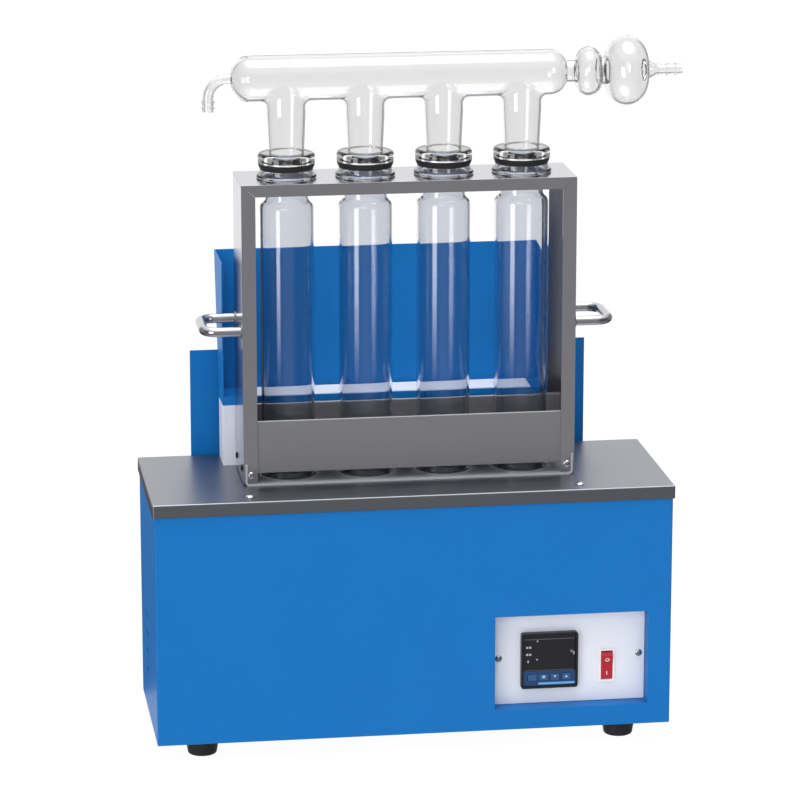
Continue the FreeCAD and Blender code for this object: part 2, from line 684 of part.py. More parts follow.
def feet():
    """Four tapered rubber feet with a recess for the screw head."""
    shapes = []
    for x, y in foot_places():
        foot = lathe_z([(0, FOOT_RECESS_RADIUS), (0, FOOT_BOTTOM_RADIUS - FOOT_EDGE),
                        ((FOOT_EDGE * (1 - math.sqrt(0.5)), FOOT_BOTTOM_RADIUS - FOOT_EDGE * (1 - math.sqrt(0.5))),
                         (FOOT_EDGE, FOOT_BOTTOM_RADIUS)),
                        (BASE_TOP, FOOT_TOP_RADIUS), (BASE_TOP, FOOT_SCREW_RADIUS + THREAD_GAP),
                        (FOOT_RECESS_DEPTH, FOOT_SCREW_RADIUS + THREAD_GAP),
                        (FOOT_RECESS_DEPTH, FOOT_RECESS_RADIUS)], x, y)
        shapes.append(foot)
    return group(shapes)


def foot_screws():
    """Screws that clamp the feet, each with its nut above the base sheet."""
    shapes = []
    nut_base = BASE_TOP + PANEL_SHEET
    for x, y in foot_places():
        head = rod(FOOT_HEAD_RADIUS, FOOT_HEAD_HEIGHT, at(x, y, FOOT_RECESS_DEPTH - FOOT_HEAD_HEIGHT), Z_AXIS)
        shank = rod(FOOT_SCREW_RADIUS, nut_base + FOOT_NUT_HEIGHT - FOOT_RECESS_DEPTH,
                    at(x, y, FOOT_RECESS_DEPTH), Z_AXIS)
        nut = hexagon(x, y, nut_base, FOOT_NUT_RADIUS, FOOT_NUT_HEIGHT)
        shapes.append(join([head, shank, nut]))
    return group(shapes)


def hexagon(x, y, z, radius, height):
    """Returns a hexagonal nut blank standing on z."""
    corners = [at(x + radius * math.cos(math.pi * k / 3), y + radius * math.sin(math.pi * k / 3), z)
               for k in range(6)]
    return prism(corners, at(0, 0, height))


def rear_panel_screws():
    """Screws round the rear panel."""
    return group([dome_screw(x, REAR_Y, z, Y_AXIS, M3_RADIUS, M3_HEAD_RADIUS, M3_HEAD_HEIGHT, SCREW_LENGTH)
                  for x, z in rear_screw_places()])


def control_recess():
    """Blue frame behind the front cut-out, with ledges that the panel is screwed to."""
    half_w = RECESS_WIDTH / 2
    half_h = RECESS_HEIGHT / 2
    back = PANEL_BACK_Y + PANEL_SHEET
    frame = block(RECESS_X - half_w - PANEL_SHEET, RECESS_X + half_w + PANEL_SHEET, PANEL_SHEET, back,
                  RECESS_Z - half_h - PANEL_SHEET, RECESS_Z + half_h + PANEL_SHEET)
    frame = frame.cut(block(RECESS_X - half_w, RECESS_X + half_w, PANEL_SHEET - OVERRUN, PANEL_BACK_Y,
                            RECESS_Z - half_h, RECESS_Z + half_h))
    frame = frame.cut(block(RECESS_X - half_w + RECESS_LEDGE, RECESS_X + half_w - RECESS_LEDGE,
                            PANEL_BACK_Y - OVERRUN, back + OVERRUN, RECESS_Z - half_h, RECESS_Z + half_h))
    holes = [at(x, back, z) for x, z in panel_screw_places()]
    return drilled(frame, M3_RADIUS + THREAD_GAP, holes, Y_AXIS, PANEL_SHEET + OVERRUN)


def control_panel():
    """White panel with holes for the controller, the switch and two screws."""
    half_w = RECESS_WIDTH / 2 - SHEET_GAP
    half_h = RECESS_HEIGHT / 2 - SHEET_GAP
    panel = block(RECESS_X - half_w, RECESS_X + half_w, RECESS_DEPTH, PANEL_BACK_Y,
                  RECESS_Z - half_h, RECESS_Z + half_h)
    half = CONTROLLER_CASE_SIZE / 2 + SHEET_GAP
    switch_w = ROCKER_WIDTH / 2 + ROCKER_GAP + SWITCH_WALL + SHEET_GAP
    switch_h = ROCKER_RADIUS + ROCKER_GAP + SWITCH_WALL + SHEET_GAP
    panel = panel.cut([
        block(CONTROLLER_X - half, CONTROLLER_X + half, RECESS_DEPTH - OVERRUN, PANEL_BACK_Y + OVERRUN,
              CONTROLLER_Z - half, CONTROLLER_Z + half),
        block(SWITCH_X - switch_w, SWITCH_X + switch_w, RECESS_DEPTH - OVERRUN, PANEL_BACK_Y + OVERRUN,
              SWITCH_Z - switch_h, SWITCH_Z + switch_h)])
    holes = [at(x, RECESS_DEPTH, z) for x, z in panel_screw_places()]
    return drilled(panel, M3_RADIUS + THREAD_GAP, holes, Y_AXIS, PANEL_THICKNESS + OVERRUN)


def panel_screws():
    """Two dome screws on the control panel."""
    return group([dome_screw(x, RECESS_DEPTH, z, -Y_AXIS, M3_RADIUS, M3_HEAD_RADIUS, M3_HEAD_HEIGHT, SCREW_LENGTH)
                  for x, z in panel_screw_places()])


def controller_case():
    """Black body of the temperature controller behind the panel."""
    half = CONTROLLER_CASE_SIZE / 2
    return block(CONTROLLER_X - half, CONTROLLER_X + half, RECESS_DEPTH, RECESS_DEPTH + CONTROLLER_CASE_DEPTH,
                 CONTROLLER_Z - half, CONTROLLER_Z + half)


def controller_bezel():
    """Square front bezel with rounded corners, a recess for the face and a raised rim."""
    half = CONTROLLER_SIZE / 2
    front = RECESS_DEPTH - CONTROLLER_BEZEL_DEPTH
    bezel = rounded_y(CONTROLLER_X - half, CONTROLLER_X + half, CONTROLLER_Z - half, CONTROLLER_Z + half,
                      front, RECESS_DEPTH, CONTROLLER_CORNER)
    inner = half - BEZEL_RIM
    return bezel.cut(block(CONTROLLER_X - inner, CONTROLLER_X + inner, front - OVERRUN, FACE_BACK_Y,
                           CONTROLLER_Z - inner, CONTROLLER_Z + inner))


def display_window():
    """Smoked display window above the key band."""
    inner = CONTROLLER_SIZE / 2 - BEZEL_RIM
    return block(CONTROLLER_X - inner, CONTROLLER_X + inner, FACE_FRONT_Y, FACE_BACK_Y,
                 BAND_BOTTOM + KEY_BAND_HEIGHT, CONTROLLER_Z + inner)


def key_band():
    """Blue band under the display with an opening for each key."""
    inner = CONTROLLER_SIZE / 2 - BEZEL_RIM
    band = block(CONTROLLER_X - inner, CONTROLLER_X + inner, FACE_FRONT_Y - KEY_THICKNESS, FACE_BACK_Y,
                 BAND_BOTTOM, BAND_BOTTOM + KEY_BAND_HEIGHT)
    cuts = []
    for x in key_places():
        half_w = KEY_WIDTH / 2 + KEY_GAP
        half_h = KEY_HEIGHT / 2 + KEY_GAP
        cuts.append(block(x - half_w, x + half_w, FACE_FRONT_Y - KEY_THICKNESS - OVERRUN, FACE_BACK_Y - KEY_GAP,
                          KEY_Z - half_h, KEY_Z + half_h))
    return band.cut(cuts)


def controller_key(index):
    """One key of the controller, a small flat button."""
    x = key_places()[index]
    front = FACE_FRONT_Y - KEY_THICKNESS - KEY_PROUD
    return block(x - KEY_WIDTH / 2, x + KEY_WIDTH / 2, front, front + KEY_THICKNESS,
                 KEY_Z - KEY_HEIGHT / 2, KEY_Z + KEY_HEIGHT / 2)


def switch_housing():
    """Switch body with a thin front rim, open at the front for the rocker."""
    open_w = ROCKER_WIDTH / 2 + ROCKER_GAP
    open_h = ROCKER_RADIUS + ROCKER_GAP
    back = RECESS_DEPTH + SWITCH_DEPTH
    rim_w = open_w + SWITCH_WALL + SWITCH_RIM
    rim_h = open_h + SWITCH_WALL + SWITCH_RIM
    rim = block(SWITCH_X - rim_w, SWITCH_X + rim_w, RECESS_DEPTH - SWITCH_RIM_PROUD, RECESS_DEPTH,
                SWITCH_Z - rim_h, SWITCH_Z + rim_h)
    box = block(SWITCH_X - open_w - SWITCH_WALL, SWITCH_X + open_w + SWITCH_WALL, RECESS_DEPTH, back,
                SWITCH_Z - open_h - SWITCH_WALL, SWITCH_Z + open_h + SWITCH_WALL)
    hollow = block(SWITCH_X - open_w, SWITCH_X + open_w, RECESS_DEPTH - SWITCH_RIM_PROUD - OVERRUN,
                   back - SWITCH_WALL, SWITCH_Z - open_h, SWITCH_Z + open_h)
    housing = join([rim, box]).cut(hollow)
    return drilled(housing, ROCKER_PIN_RADIUS, [at(SWITCH_X, PIVOT_Y, SWITCH_Z)], X_AXIS, open_w + SWITCH_WALL)


def rocker_pin():
    """Pivot pin of the rocker, held in the switch body."""
    length = ROCKER_WIDTH + 2 * ROCKER_GAP + 2 * SWITCH_WALL
    return rod(ROCKER_PIN_RADIUS, length, at(SWITCH_X - length / 2, PIVOT_Y, SWITCH_Z), X_AXIS)


def power_rocker():
    """Red rocker with a shallow valley, stored with its lower half pressed."""
    disc = rod(ROCKER_RADIUS, ROCKER_WIDTH, at(SWITCH_X - ROCKER_WIDTH / 2, PIVOT_Y, SWITCH_Z), X_AXIS)
    r = ROCKER_RADIUS
    wedge = prism_x([(PIVOT_Y - ROCKER_VALLEY, SWITCH_Z), (PIVOT_Y - ROCKER_HORN, SWITCH_Z + r),
                     (PIVOT_Y + ROCKER_BACK - ROCKER_HORN / 2, SWITCH_Z + r),
                     (PIVOT_Y + ROCKER_BACK, SWITCH_Z + ROCKER_BACK_HALF),
                     (PIVOT_Y + ROCKER_BACK, SWITCH_Z - ROCKER_BACK_HALF),
                     (PIVOT_Y + ROCKER_BACK - ROCKER_HORN / 2, SWITCH_Z - r),
                     (PIVOT_Y - ROCKER_HORN, SWITCH_Z - r)],
                    SWITCH_X - ROCKER_WIDTH / 2, SWITCH_X + ROCKER_WIDTH / 2)
    rocker = disc.common(wedge)
    rocker = drilled(rocker, ROCKER_PIN_RADIUS + ROCKER_PIN_GAP, [at(SWITCH_X, PIVOT_Y, SWITCH_Z)], X_AXIS,
                     ROCKER_WIDTH)
    rocker.rotate(at(SWITCH_X, PIVOT_Y, SWITCH_Z), X_AXIS, ROCKER_TILT_DEG)
    return rocker


def heating_block():
    """Aluminium block with four round-bottomed wells and a bore for the probe."""
    half_x = BLOCK_LENGTH / 2
    half_y = BLOCK_DEPTH / 2
    shape = block(RACK_X - half_x, RACK_X + half_x, TUBE_Y - half_y, TUBE_Y + half_y, BLOCK_BOTTOM, BLOCK_TOP)
    floor = TUBE_BOTTOM - WELL_FLOOR_GAP
    wells = []
    for x in TUBE_XS:
        ball_z = floor + WELL_RADIUS
        wells.append(join([rod(WELL_RADIUS, BLOCK_TOP + OVERRUN - ball_z, at(x, TUBE_Y, ball_z), Z_AXIS),
                           Part.makeSphere(WELL_RADIUS, at(x, TUBE_Y, ball_z))]))
    shape = shape.cut(wells)
    probe = rod(PROBE_RADIUS + THREAD_GAP, PROBE_REACH + OVERRUN,
                at(RACK_X + half_x + OVERRUN, TUBE_Y, BLOCK_TOP - PROBE_DROP), -X_AXIS)
    shape = shape.cut(probe)
    holes = [at(x, y, BLOCK_BOTTOM) for x, y in clamp_screw_places()]
    return drilled(shape, M4_RADIUS + THREAD_GAP, holes, Z_AXIS, SCREW_LENGTH + OVERRUN)


def clamp_screw_places():
    """Returns the x, y of the screws that clamp the heater."""
    return [(RACK_X + sx * CLAMP_SCREW_SPACING_X / 2, TUBE_Y + sy * CLAMP_SCREW_SPACING_Y / 2)
            for sx in (-1, 1) for sy in (-1, 1)]


def plate_under_block(top, thickness):
    """Returns a heater sized plate with the four clamp screw holes."""
    half_x = HEATER_LENGTH / 2
    half_y = HEATER_DEPTH / 2
    plate = block(RACK_X - half_x, RACK_X + half_x, TUBE_Y - half_y, TUBE_Y + half_y, top - thickness, top)
    return drilled(plate, M4_RADIUS + THREAD_GAP, [at(x, y, top) for x, y in clamp_screw_places()], Z_AXIS,
                   thickness + OVERRUN)


def heater_plate():
    """Flat mica heater under the block."""
    return plate_under_block(BLOCK_BOTTOM, HEATER_THICKNESS)


def heater_clamp():
    """Steel plate that presses the heater to the block, with two holes for the heater leads."""
    plate = plate_under_block(HEATER_BOTTOM, CLAMP_THICKNESS)
    return plate.cut(lead_channels())


def heater_screws():
    """Four screws that hold the clamp and the heater to the block."""
    length = CLAMP_THICKNESS + HEATER_THICKNESS + SCREW_LENGTH
    return group([dome_screw(x, y, CLAMP_BOTTOM, -Z_AXIS, M4_RADIUS, M4_HEAD_RADIUS, M4_HEAD_HEIGHT, length)
                  for x, y in clamp_screw_places()])


def block_insulation():
    """Ceramic fibre box round the block, fitted to the block, the heater and the clamp."""
    shape = block(RACK_X - FIBRE_HALF_X, RACK_X + FIBRE_HALF_X, TUBE_Y - FIBRE_HALF_Y, TUBE_Y + FIBRE_HALF_Y,
                  FIBRE_BOTTOM, BLOCK_TOP)
    half_x = BLOCK_LENGTH / 2
    half_y = BLOCK_DEPTH / 2
    shape = shape.cut(block(RACK_X - half_x, RACK_X + half_x, TUBE_Y - half_y, TUBE_Y + half_y,
                            BLOCK_BOTTOM, BLOCK_TOP + OVERRUN))
    half_x = HEATER_LENGTH / 2
    half_y = HEATER_DEPTH / 2
    shape = shape.cut(block(RACK_X - half_x, RACK_X + half_x, TUBE_Y - half_y, TUBE_Y + half_y,
                            CLAMP_BOTTOM, BLOCK_BOTTOM + OVERRUN))
    recesses = [rod(M4_HEAD_RADIUS + SOFT_GAP, M4_HEAD_HEIGHT + SOFT_GAP + OVERRUN,
                    at(x, y, CLAMP_BOTTOM - M4_HEAD_HEIGHT - SOFT_GAP), Z_AXIS) for x, y in clamp_screw_places()]
    shape = shape.cut(recesses)
    probe = rod(PROBE_RADIUS + THREAD_GAP, FIBRE_SIDE + 2 * OVERRUN,
                at(RACK_X + FIBRE_HALF_X + OVERRUN, TUBE_Y, BLOCK_TOP - PROBE_DROP), -X_AXIS)
    return shape.cut([probe] + lead_channels())


def block_tray():
    """Sheet tray that holds the block and hangs from the top plate by its flanges."""
    x0 = RACK_X - FIBRE_HALF_X - PANEL_SHEET
    x1 = RACK_X + FIBRE_HALF_X + PANEL_SHEET
    y0 = TUBE_Y - FIBRE_HALF_Y - PANEL_SHEET
    y1 = TUBE_Y + FIBRE_HALF_Y + PANEL_SHEET
    z0 = FIBRE_BOTTOM - PANEL_SHEET
    tray = block(x0, x1, y0, y1, z0, PLATE_UNDER)
    flange = block(x0 - TRAY_FLANGE_SIDE, x1 + TRAY_FLANGE_SIDE, PANEL_SHEET + TRAY_FRONT_GAP,
                   y1 + TRAY_SCREW_EDGE, PLATE_UNDER - PANEL_SHEET, PLATE_UNDER)
    tray = join([tray, flange])
    tray = tray.cut(block(x0 + PANEL_SHEET, x1 - PANEL_SHEET, y0 + PANEL_SHEET, y1 - PANEL_SHEET,
                          FIBRE_BOTTOM, PLATE_UNDER + OVERRUN))
    tray = drilled(tray, M4_RADIUS + THREAD_GAP, [at(x, y, PLATE_UNDER) for x, y in tray_screw_places()], Z_AXIS,
                   PANEL_SHEET + OVERRUN)
    probe = rod(PROBE_RADIUS + THREAD_GAP, PANEL_SHEET + 2 * OVERRUN,
                at(x1 + OVERRUN, TUBE_Y, BLOCK_TOP - PROBE_DROP), -X_AXIS)
    return tray.cut([probe] + lead_channels())


def well_collars():
    """Sleeves between the top plate and the block that keep the fibre out of the wells."""
    shapes = []
    for x in TUBE_XS:
        outer = rod(WELL_RADIUS + WELL_COLLAR_WALL, BLOCK_DROP, at(x, TUBE_Y, BLOCK_TOP), Z_AXIS)
        shapes.append(outer.cut(rod(WELL_RADIUS, BLOCK_DROP + 2 * OVERRUN, at(x, TUBE_Y, BLOCK_TOP - OVERRUN),
                                    Z_AXIS)))
    return group(shapes)


def tray_screws():
    """Four dome screws through the top plate, the front two in plain view."""
    return group([dome_screw(x, y, BODY_TOP, Z_AXIS, M4_RADIUS, M4_HEAD_RADIUS, M4_HEAD_HEIGHT, SCREW_LENGTH)
                  for x, y in tray_screw_places()])


def temperature_probe():
    """Thermocouple probe that reaches into the block through the tray wall."""
    wall = RACK_X + FIBRE_HALF_X + PANEL_SHEET
    z = BLOCK_TOP - PROBE_DROP
    reach = wall - (RACK_X + BLOCK_LENGTH / 2) + PROBE_REACH
    stem = rod(PROBE_RADIUS, reach, at(wall, TUBE_Y, z), -X_AXIS)
    body = rod(PROBE_BODY_RADIUS, PROBE_BODY_LENGTH, at(wall, TUBE_Y, z), X_AXIS)
    return join([stem, body])


def relay_heat_sink():
    """Finned aluminium heat sink, fins up, that carries the relay on its base."""
    x0 = RELAY_X - HEAT_SINK_WIDTH / 2
    y0 = RELAY_Y - HEAT_SINK_LENGTH / 2
    y1 = RELAY_Y + HEAT_SINK_LENGTH / 2
    z0 = BASE_TOP + PANEL_SHEET
    pieces = [block(x0, x0 + HEAT_SINK_WIDTH, y0, y1, z0 + HEAT_SINK_HEIGHT - HEAT_SINK_BASE, z0 + HEAT_SINK_HEIGHT)]
    pitch = (HEAT_SINK_WIDTH - HEAT_SINK_FIN) / (HEAT_SINK_FINS - 1)
    for i in range(HEAT_SINK_FINS):
        x = x0 + i * pitch
        pieces.append(block(x, x + HEAT_SINK_FIN, y0, y1, z0, z0 + HEAT_SINK_HEIGHT - HEAT_SINK_BASE))
    return join(pieces)


def relay():
    """Solid-state relay on the heat sink."""
    z0 = BASE_TOP + PANEL_SHEET + HEAT_SINK_HEIGHT
    return block(RELAY_X - RELAY_WIDTH / 2, RELAY_X + RELAY_WIDTH / 2, RELAY_Y - RELAY_LENGTH / 2,
                 RELAY_Y + RELAY_LENGTH / 2, z0, z0 + RELAY_HEIGHT)


def terminal_block():
    """Terminal strip on the base sheet with a pocket for each pole."""
    z0 = BASE_TOP + PANEL_SHEET
    x0 = TERMINAL_X - TERMINAL_LENGTH / 2
    strip = block(x0, x0 + TERMINAL_LENGTH, TERMINAL_Y - TERMINAL_DEPTH / 2, TERMINAL_Y + TERMINAL_DEPTH / 2,
                  z0, z0 + TERMINAL_HEIGHT)
    pitch = TERMINAL_LENGTH / TERMINAL_POLES
    pocket_z = z0 + TERMINAL_HEIGHT - TERMINAL_POCKET_DEPTH
    pockets = [rod(pitch * TERMINAL_POCKET_SHARE, TERMINAL_POCKET_DEPTH + OVERRUN,
                   at(x0 + pitch * i + pitch / 2, TERMINAL_Y, pocket_z), Z_AXIS)
               for i in range(TERMINAL_POLES)]
    return strip.cut(pockets)


def heater_lead_places():
    """Returns the points where the two heater leads leave the heater."""
    return [at(RACK_X + side * HEATER_LEAD_SPACING / 2, TUBE_Y, HEATER_BOTTOM) for side in (-1, 1)]


def lead_channels():
    """Returns the round channels that the heater leads pass down through."""
    length = HEATER_BOTTOM - FIBRE_BOTTOM + PANEL_SHEET + OVERRUN
    return [rod(LEAD_RADIUS + HEATER_LEAD_GAP, length, p, -Z_AXIS) for p in heater_lead_places()]


def terminal_entry(pole):
    """Returns the point on the front of the terminal block where a lead enters."""
    x = TERMINAL_X + (pole - (TERMINAL_POLES - 1) / 2) * TERMINAL_LENGTH / TERMINAL_POLES
    return at(x, TERMINAL_Y - TERMINAL_DEPTH / 2, BASE_TOP + PANEL_SHEET + TERMINAL_ENTRY_HEIGHT)


def relay_entry(step):
    """Returns a point on the right face of the relay."""
    z = BASE_TOP + PANEL_SHEET + HEAT_SINK_HEIGHT + RELAY_HEIGHT / 2
    return at(RELAY_X + RELAY_WIDTH / 2, RELAY_Y + step, z)


def to_plane(point):
    """Returns the point straight in front of a rear piece, in the plane where its lead turns."""
    return at(point.x, LEAD_PLANE_Y, point.z)


def mains_leads():
    """Leads from the inlet, the fuse and the switch to the terminal block."""
    inlet_y = REAR_Y - INLET_BODY_DEPTH
    live = at(INLET_X - LEAD_SIDE_STEP, inlet_y, INLET_Z + LEAD_STAGGER / 2)
    neutral = at(INLET_X, inlet_y, INLET_Z - LEAD_STAGGER / 2)
    fuse_y = REAR_Y - FUSE_BODY_LENGTH
    fuse_in = at(FUSE_X, fuse_y, FUSE_Z + LEAD_STAGGER / 2)
    fuse_out = at(FUSE_X, fuse_y, FUSE_Z - LEAD_STAGGER / 2)
    switch = at(SWITCH_X, RECESS_DEPTH + SWITCH_DEPTH, SWITCH_Z)
    third, fourth, fifth = [terminal_entry(pole) for pole in (2, 3, 4)]
    return group([
        held_lead([live, to_plane(live), to_plane(fuse_in), fuse_in]),
        held_lead([neutral, to_plane(neutral), to_plane(fifth), fifth]),
        held_lead([fuse_out, to_plane(fuse_out), to_plane(fourth), fourth]),
        held_lead([switch, switch + Y_AXIS * LEAD_END_RUN] + [at(*p) for p in SWITCH_LEAD_VIA]
                  + [third - Y_AXIS * LEAD_END_RUN, third])])


def heater_leads():
    """Leads from the heater to the relay and the terminal block, and from there to the relay."""
    left, right = heater_lead_places()
    first, second = [terminal_entry(pole) for pole in (0, 1)]
    near = relay_entry(0)
    far = relay_entry(2 * LEAD_STAGGER)
    out = X_AXIS * LEAD_END_RUN
    return group([
        held_lead([left, left - Z_AXIS * HEATER_LEAD_RUN, near + out, near]),
        held_lead([right, right - Z_AXIS * HEATER_LEAD_RUN] + [at(*p) for p in HEATER_LEAD_VIA]
                  + [to_plane(second), second]),
        held_lead([first, to_plane(first), far + out, far])])


def control_leads():
    """Leads from the controller to the probe and to the relay."""
    case_y = RECESS_DEPTH + CONTROLLER_CASE_DEPTH
    probe = at(RACK_X + FIBRE_HALF_X + PANEL_SHEET + PROBE_BODY_LENGTH, TUBE_Y, BLOCK_TOP - PROBE_DROP)
    upper = at(CONTROLLER_X + LEAD_SIDE_STEP, case_y, CONTROLLER_Z + LEAD_STAGGER)
    lower = at(CONTROLLER_X - LEAD_SIDE_STEP, case_y, CONTROLLER_Z - LEAD_STAGGER)
    relay_end = relay_entry(-2 * LEAD_STAGGER)
    return group([
        held_lead([probe, probe + X_AXIS * LEAD_END_RUN] + [at(*p) for p in PROBE_LEAD_VIA]
                  + [upper + Y_AXIS * LEAD_END_RUN, upper]),
        held_lead([lower, lower + Y_AXIS * LEAD_END_RUN] + [at(*p) for p in RELAY_LEAD_VIA]
                  + [relay_end + X_AXIS * LEAD_END_RUN, relay_end])])


def inlet_socket():
    """Mains inlet in the rear panel with its flange, shaped mouth and three pins."""
    flange = block(INLET_X - INLET_FLANGE_WIDTH / 2, INLET_X + INLET_FLANGE_WIDTH / 2, REAR_Y,
                   REAR_Y + INLET_FLANGE_THICKNESS, INLET_Z - INLET_FLANGE_HEIGHT / 2,
                   INLET_Z + INLET_FLANGE_HEIGHT / 2)
    body = block(INLET_X - INLET_BODY_WIDTH / 2, INLET_X + INLET_BODY_WIDTH / 2, REAR_Y - INLET_BODY_DEPTH, REAR_Y,
                 INLET_Z - INLET_BODY_HEIGHT / 2, INLET_Z + INLET_BODY_HEIGHT / 2)
    half_w = INLET_MOUTH_WIDTH / 2
    half_h = INLET_MOUTH_HEIGHT / 2
    corner = INLET_MOUTH_CORNER
    outline = [(INLET_X - half_w, INLET_Z - half_h), (INLET_X + half_w, INLET_Z - half_h),
               (INLET_X + half_w, INLET_Z + half_h - corner), (INLET_X + half_w - corner, INLET_Z + half_h),
               (INLET_X - half_w + corner, INLET_Z + half_h), (INLET_X - half_w, INLET_Z + half_h - corner)]
    front = REAR_Y + INLET_FLANGE_THICKNESS
    mouth = prism_y(outline, front - INLET_MOUTH_DEPTH, front + OVERRUN)
    shell = join([flange, body]).cut(mouth)
    pins = []
    for x, z in ((0, INLET_PIN_RISE / 2), (-INLET_PIN_SPACING / 2, -INLET_PIN_RISE / 2),
                 (INLET_PIN_SPACING / 2, -INLET_PIN_RISE / 2)):
        pins.append(block(INLET_X + x - INLET_PIN_THICKNESS / 2, INLET_X + x + INLET_PIN_THICKNESS / 2,
                          front - INLET_MOUTH_DEPTH, front - INLET_MOUTH_DEPTH + INLET_PIN_LENGTH,
                          INLET_Z + z - INLET_PIN_WIDTH / 2, INLET_Z + z + INLET_PIN_WIDTH / 2))
    shell = join([shell] + pins)
    holes = [at(INLET_X + s * INLET_SCREW_SPACING / 2, REAR_Y, INLET_Z) for s in (-1, 1)]
    return drilled(shell, M3_RADIUS + THREAD_GAP, holes, Y_AXIS, INLET_FLANGE_THICKNESS + OVERRUN)


def inlet_screws():
    """Two screws of the mains inlet."""
    y = REAR_Y + INLET_FLANGE_THICKNESS
    return group([dome_screw(INLET_X + s * INLET_SCREW_SPACING / 2, y, INLET_Z, Y_AXIS, M3_RADIUS, M3_HEAD_RADIUS,
                             M3_HEAD_HEIGHT, SCREW_LENGTH + INLET_FLANGE_THICKNESS) for s in (-1, 1)])


def fuse_holder():
    """Fuse holder body with its round cap on the rear panel."""
    body = rod(FUSE_BODY_RADIUS, FUSE_BODY_LENGTH, at(FUSE_X, REAR_Y, FUSE_Z), -Y_AXIS)
    cap = rod(FUSE_CAP_RADIUS, FUSE_CAP_LENGTH, at(FUSE_X, REAR_Y, FUSE_Z), Y_AXIS)
    return join([body, cap])


def earth_stud():
    """Brass earth stud with its nut on the base sheet."""
    z0 = BASE_TOP + PANEL_SHEET
    stud = rod(EARTH_RADIUS, EARTH_HEIGHT, at(EARTH_X, EARTH_Y, z0), Z_AXIS)
    return join([stud, hexagon(EARTH_X, EARTH_Y, z0, EARTH_NUT_RADIUS, EARTH_NUT_HEIGHT)])


def rack_side(left):
    """Side panel of the rack, a folded channel with front and back posts mitred at the top."""
    z0 = BODY_TOP + TRAY_SHEET + THREAD_GAP
    outer = RACK_LEFT if left else RACK_RIGHT
    inward = 1 if left else -1
    x_web = outer + inward * RACK_SHEET
    x_post = outer + inward * RACK_POST
    xs = sorted((outer, x_web))
    top_out = RACK_TOP - SHEET_GAP
    pieces = [block(xs[0], xs[1], RACK_FRONT_Y, RACK_BACK_Y, z0, top_out - RACK_SHEET)]
    outline = [(outer, z0), (x_post, z0), (x_post, top_out - RACK_BAR), (x_web, top_out - RACK_SHEET),
               (outer, top_out - RACK_SHEET)]
    for y in (RACK_FRONT_Y, RACK_BACK_Y - RACK_SHEET):
        pieces.append(prism_y(outline, y, y + RACK_SHEET))
    side = join(pieces).cut(tray_channel(THREAD_GAP))
    x_screw = outer + inward * RACK_SCREW_INSET
    holes = [at(x_screw, y, BODY_TOP + RACK_SCREW_HEIGHT) for y in (RACK_FRONT_Y, RACK_BACK_Y)]
    side = drilled(side, M3_RADIUS + THREAD_GAP, holes, Y_AXIS, RACK_SHEET + OVERRUN)
    holes = [at(outer, y, BODY_TOP + SIDE_SCREW_HEIGHT) for y in side_screw_ys()]
    return drilled(side, M3_RADIUS + THREAD_GAP, holes, X_AXIS, RACK_SHEET + OVERRUN)


def side_screw_ys():
    """Returns the y of the screws on each side of the rack."""
    return [RACK_FRONT_Y + SIDE_SCREW_INSET, RACK_BACK_Y - SIDE_SCREW_INSET]


def rack_top():
    """Top of the rack, an upturned channel with four tube holes and mitred bars."""
    web = block(RACK_LEFT, RACK_RIGHT, RACK_FRONT_Y, RACK_BACK_Y, RACK_TOP - RACK_SHEET, RACK_TOP)
    web = drilled(web, RACK_HOLE_RADIUS, [at(x, TUBE_Y, RACK_TOP) for x in TUBE_XS], Z_AXIS, RACK_SHEET + OVERRUN)
    low = RACK_TOP - RACK_BAR
    outline = [(RACK_LEFT + RACK_SHEET, RACK_TOP - RACK_SHEET), (RACK_LEFT + RACK_POST, low),
               (RACK_RIGHT - RACK_POST, low), (RACK_RIGHT - RACK_SHEET, RACK_TOP - RACK_SHEET)]
    bars = [prism_y(outline, y, y + RACK_SHEET) for y in (RACK_FRONT_Y, RACK_BACK_Y - RACK_SHEET)]
    return join([web] + bars)


def rack_shelf():
    """Lower shelf with four tube holes and a hemmed apron turned up at the front and the back."""
    top = BODY_TOP + SHELF_HEIGHT
    low = top - SHELF_APRON
    y0 = RACK_FRONT_Y + RACK_SHEET + SHELF_FRONT_SETBACK
    y1 = RACK_BACK_Y - RACK_SHEET - SHELF_FRONT_SETBACK
    x0 = RACK_LEFT + RACK_SHEET
    x1 = RACK_RIGHT - RACK_SHEET
    round_z = top - RACK_SHEET
    channel = folded_block(x0, x1, y0, y1, low, round_z, SHELF_BEND,
                           lambda box: box.XLength > RACK_DEPTH and box.ZMax < low + SHEET_GAP)
    floor = low + RACK_SHEET
    channel = channel.cut(folded_block(x0 - OVERRUN, x1 + OVERRUN, y0 + RACK_SHEET, y1 - RACK_SHEET, floor,
                                       top + OVERRUN, SHELF_BEND - RACK_SHEET,
                                       lambda box: box.XLength > RACK_DEPTH and box.ZMax < floor + SHEET_GAP))
    hems = []
    for y in (y0, y1 - 2 * RACK_SHEET):
        hems.append(block(x0, x1, y, y + 2 * RACK_SHEET, top - SHELF_HEM, round_z))
        hems.append(rod(RACK_SHEET, x1 - x0, at(x0, y + RACK_SHEET, round_z), X_AXIS))
    shape = join([channel] + hems)
    ear = TRAY_INSET + TRAY_SHEET + SOFT_GAP
    for reach, height in ((ear, TRAY_EAR), (ear + LUG_WIDTH, LUG_HEIGHT)):
        high = BODY_TOP + height + SOFT_GAP
        shape = shape.cut([block(x0 - OVERRUN, RACK_LEFT + reach, y0 - OVERRUN, y1 + OVERRUN, low - OVERRUN, high),
                           block(RACK_RIGHT - reach, x1 + OVERRUN, y0 - OVERRUN, y1 + OVERRUN, low - OVERRUN, high)])
    return drilled(shape, RACK_HOLE_RADIUS, [at(x, TUBE_Y, low) for x in TUBE_XS], Z_AXIS, RACK_SHEET + OVERRUN)


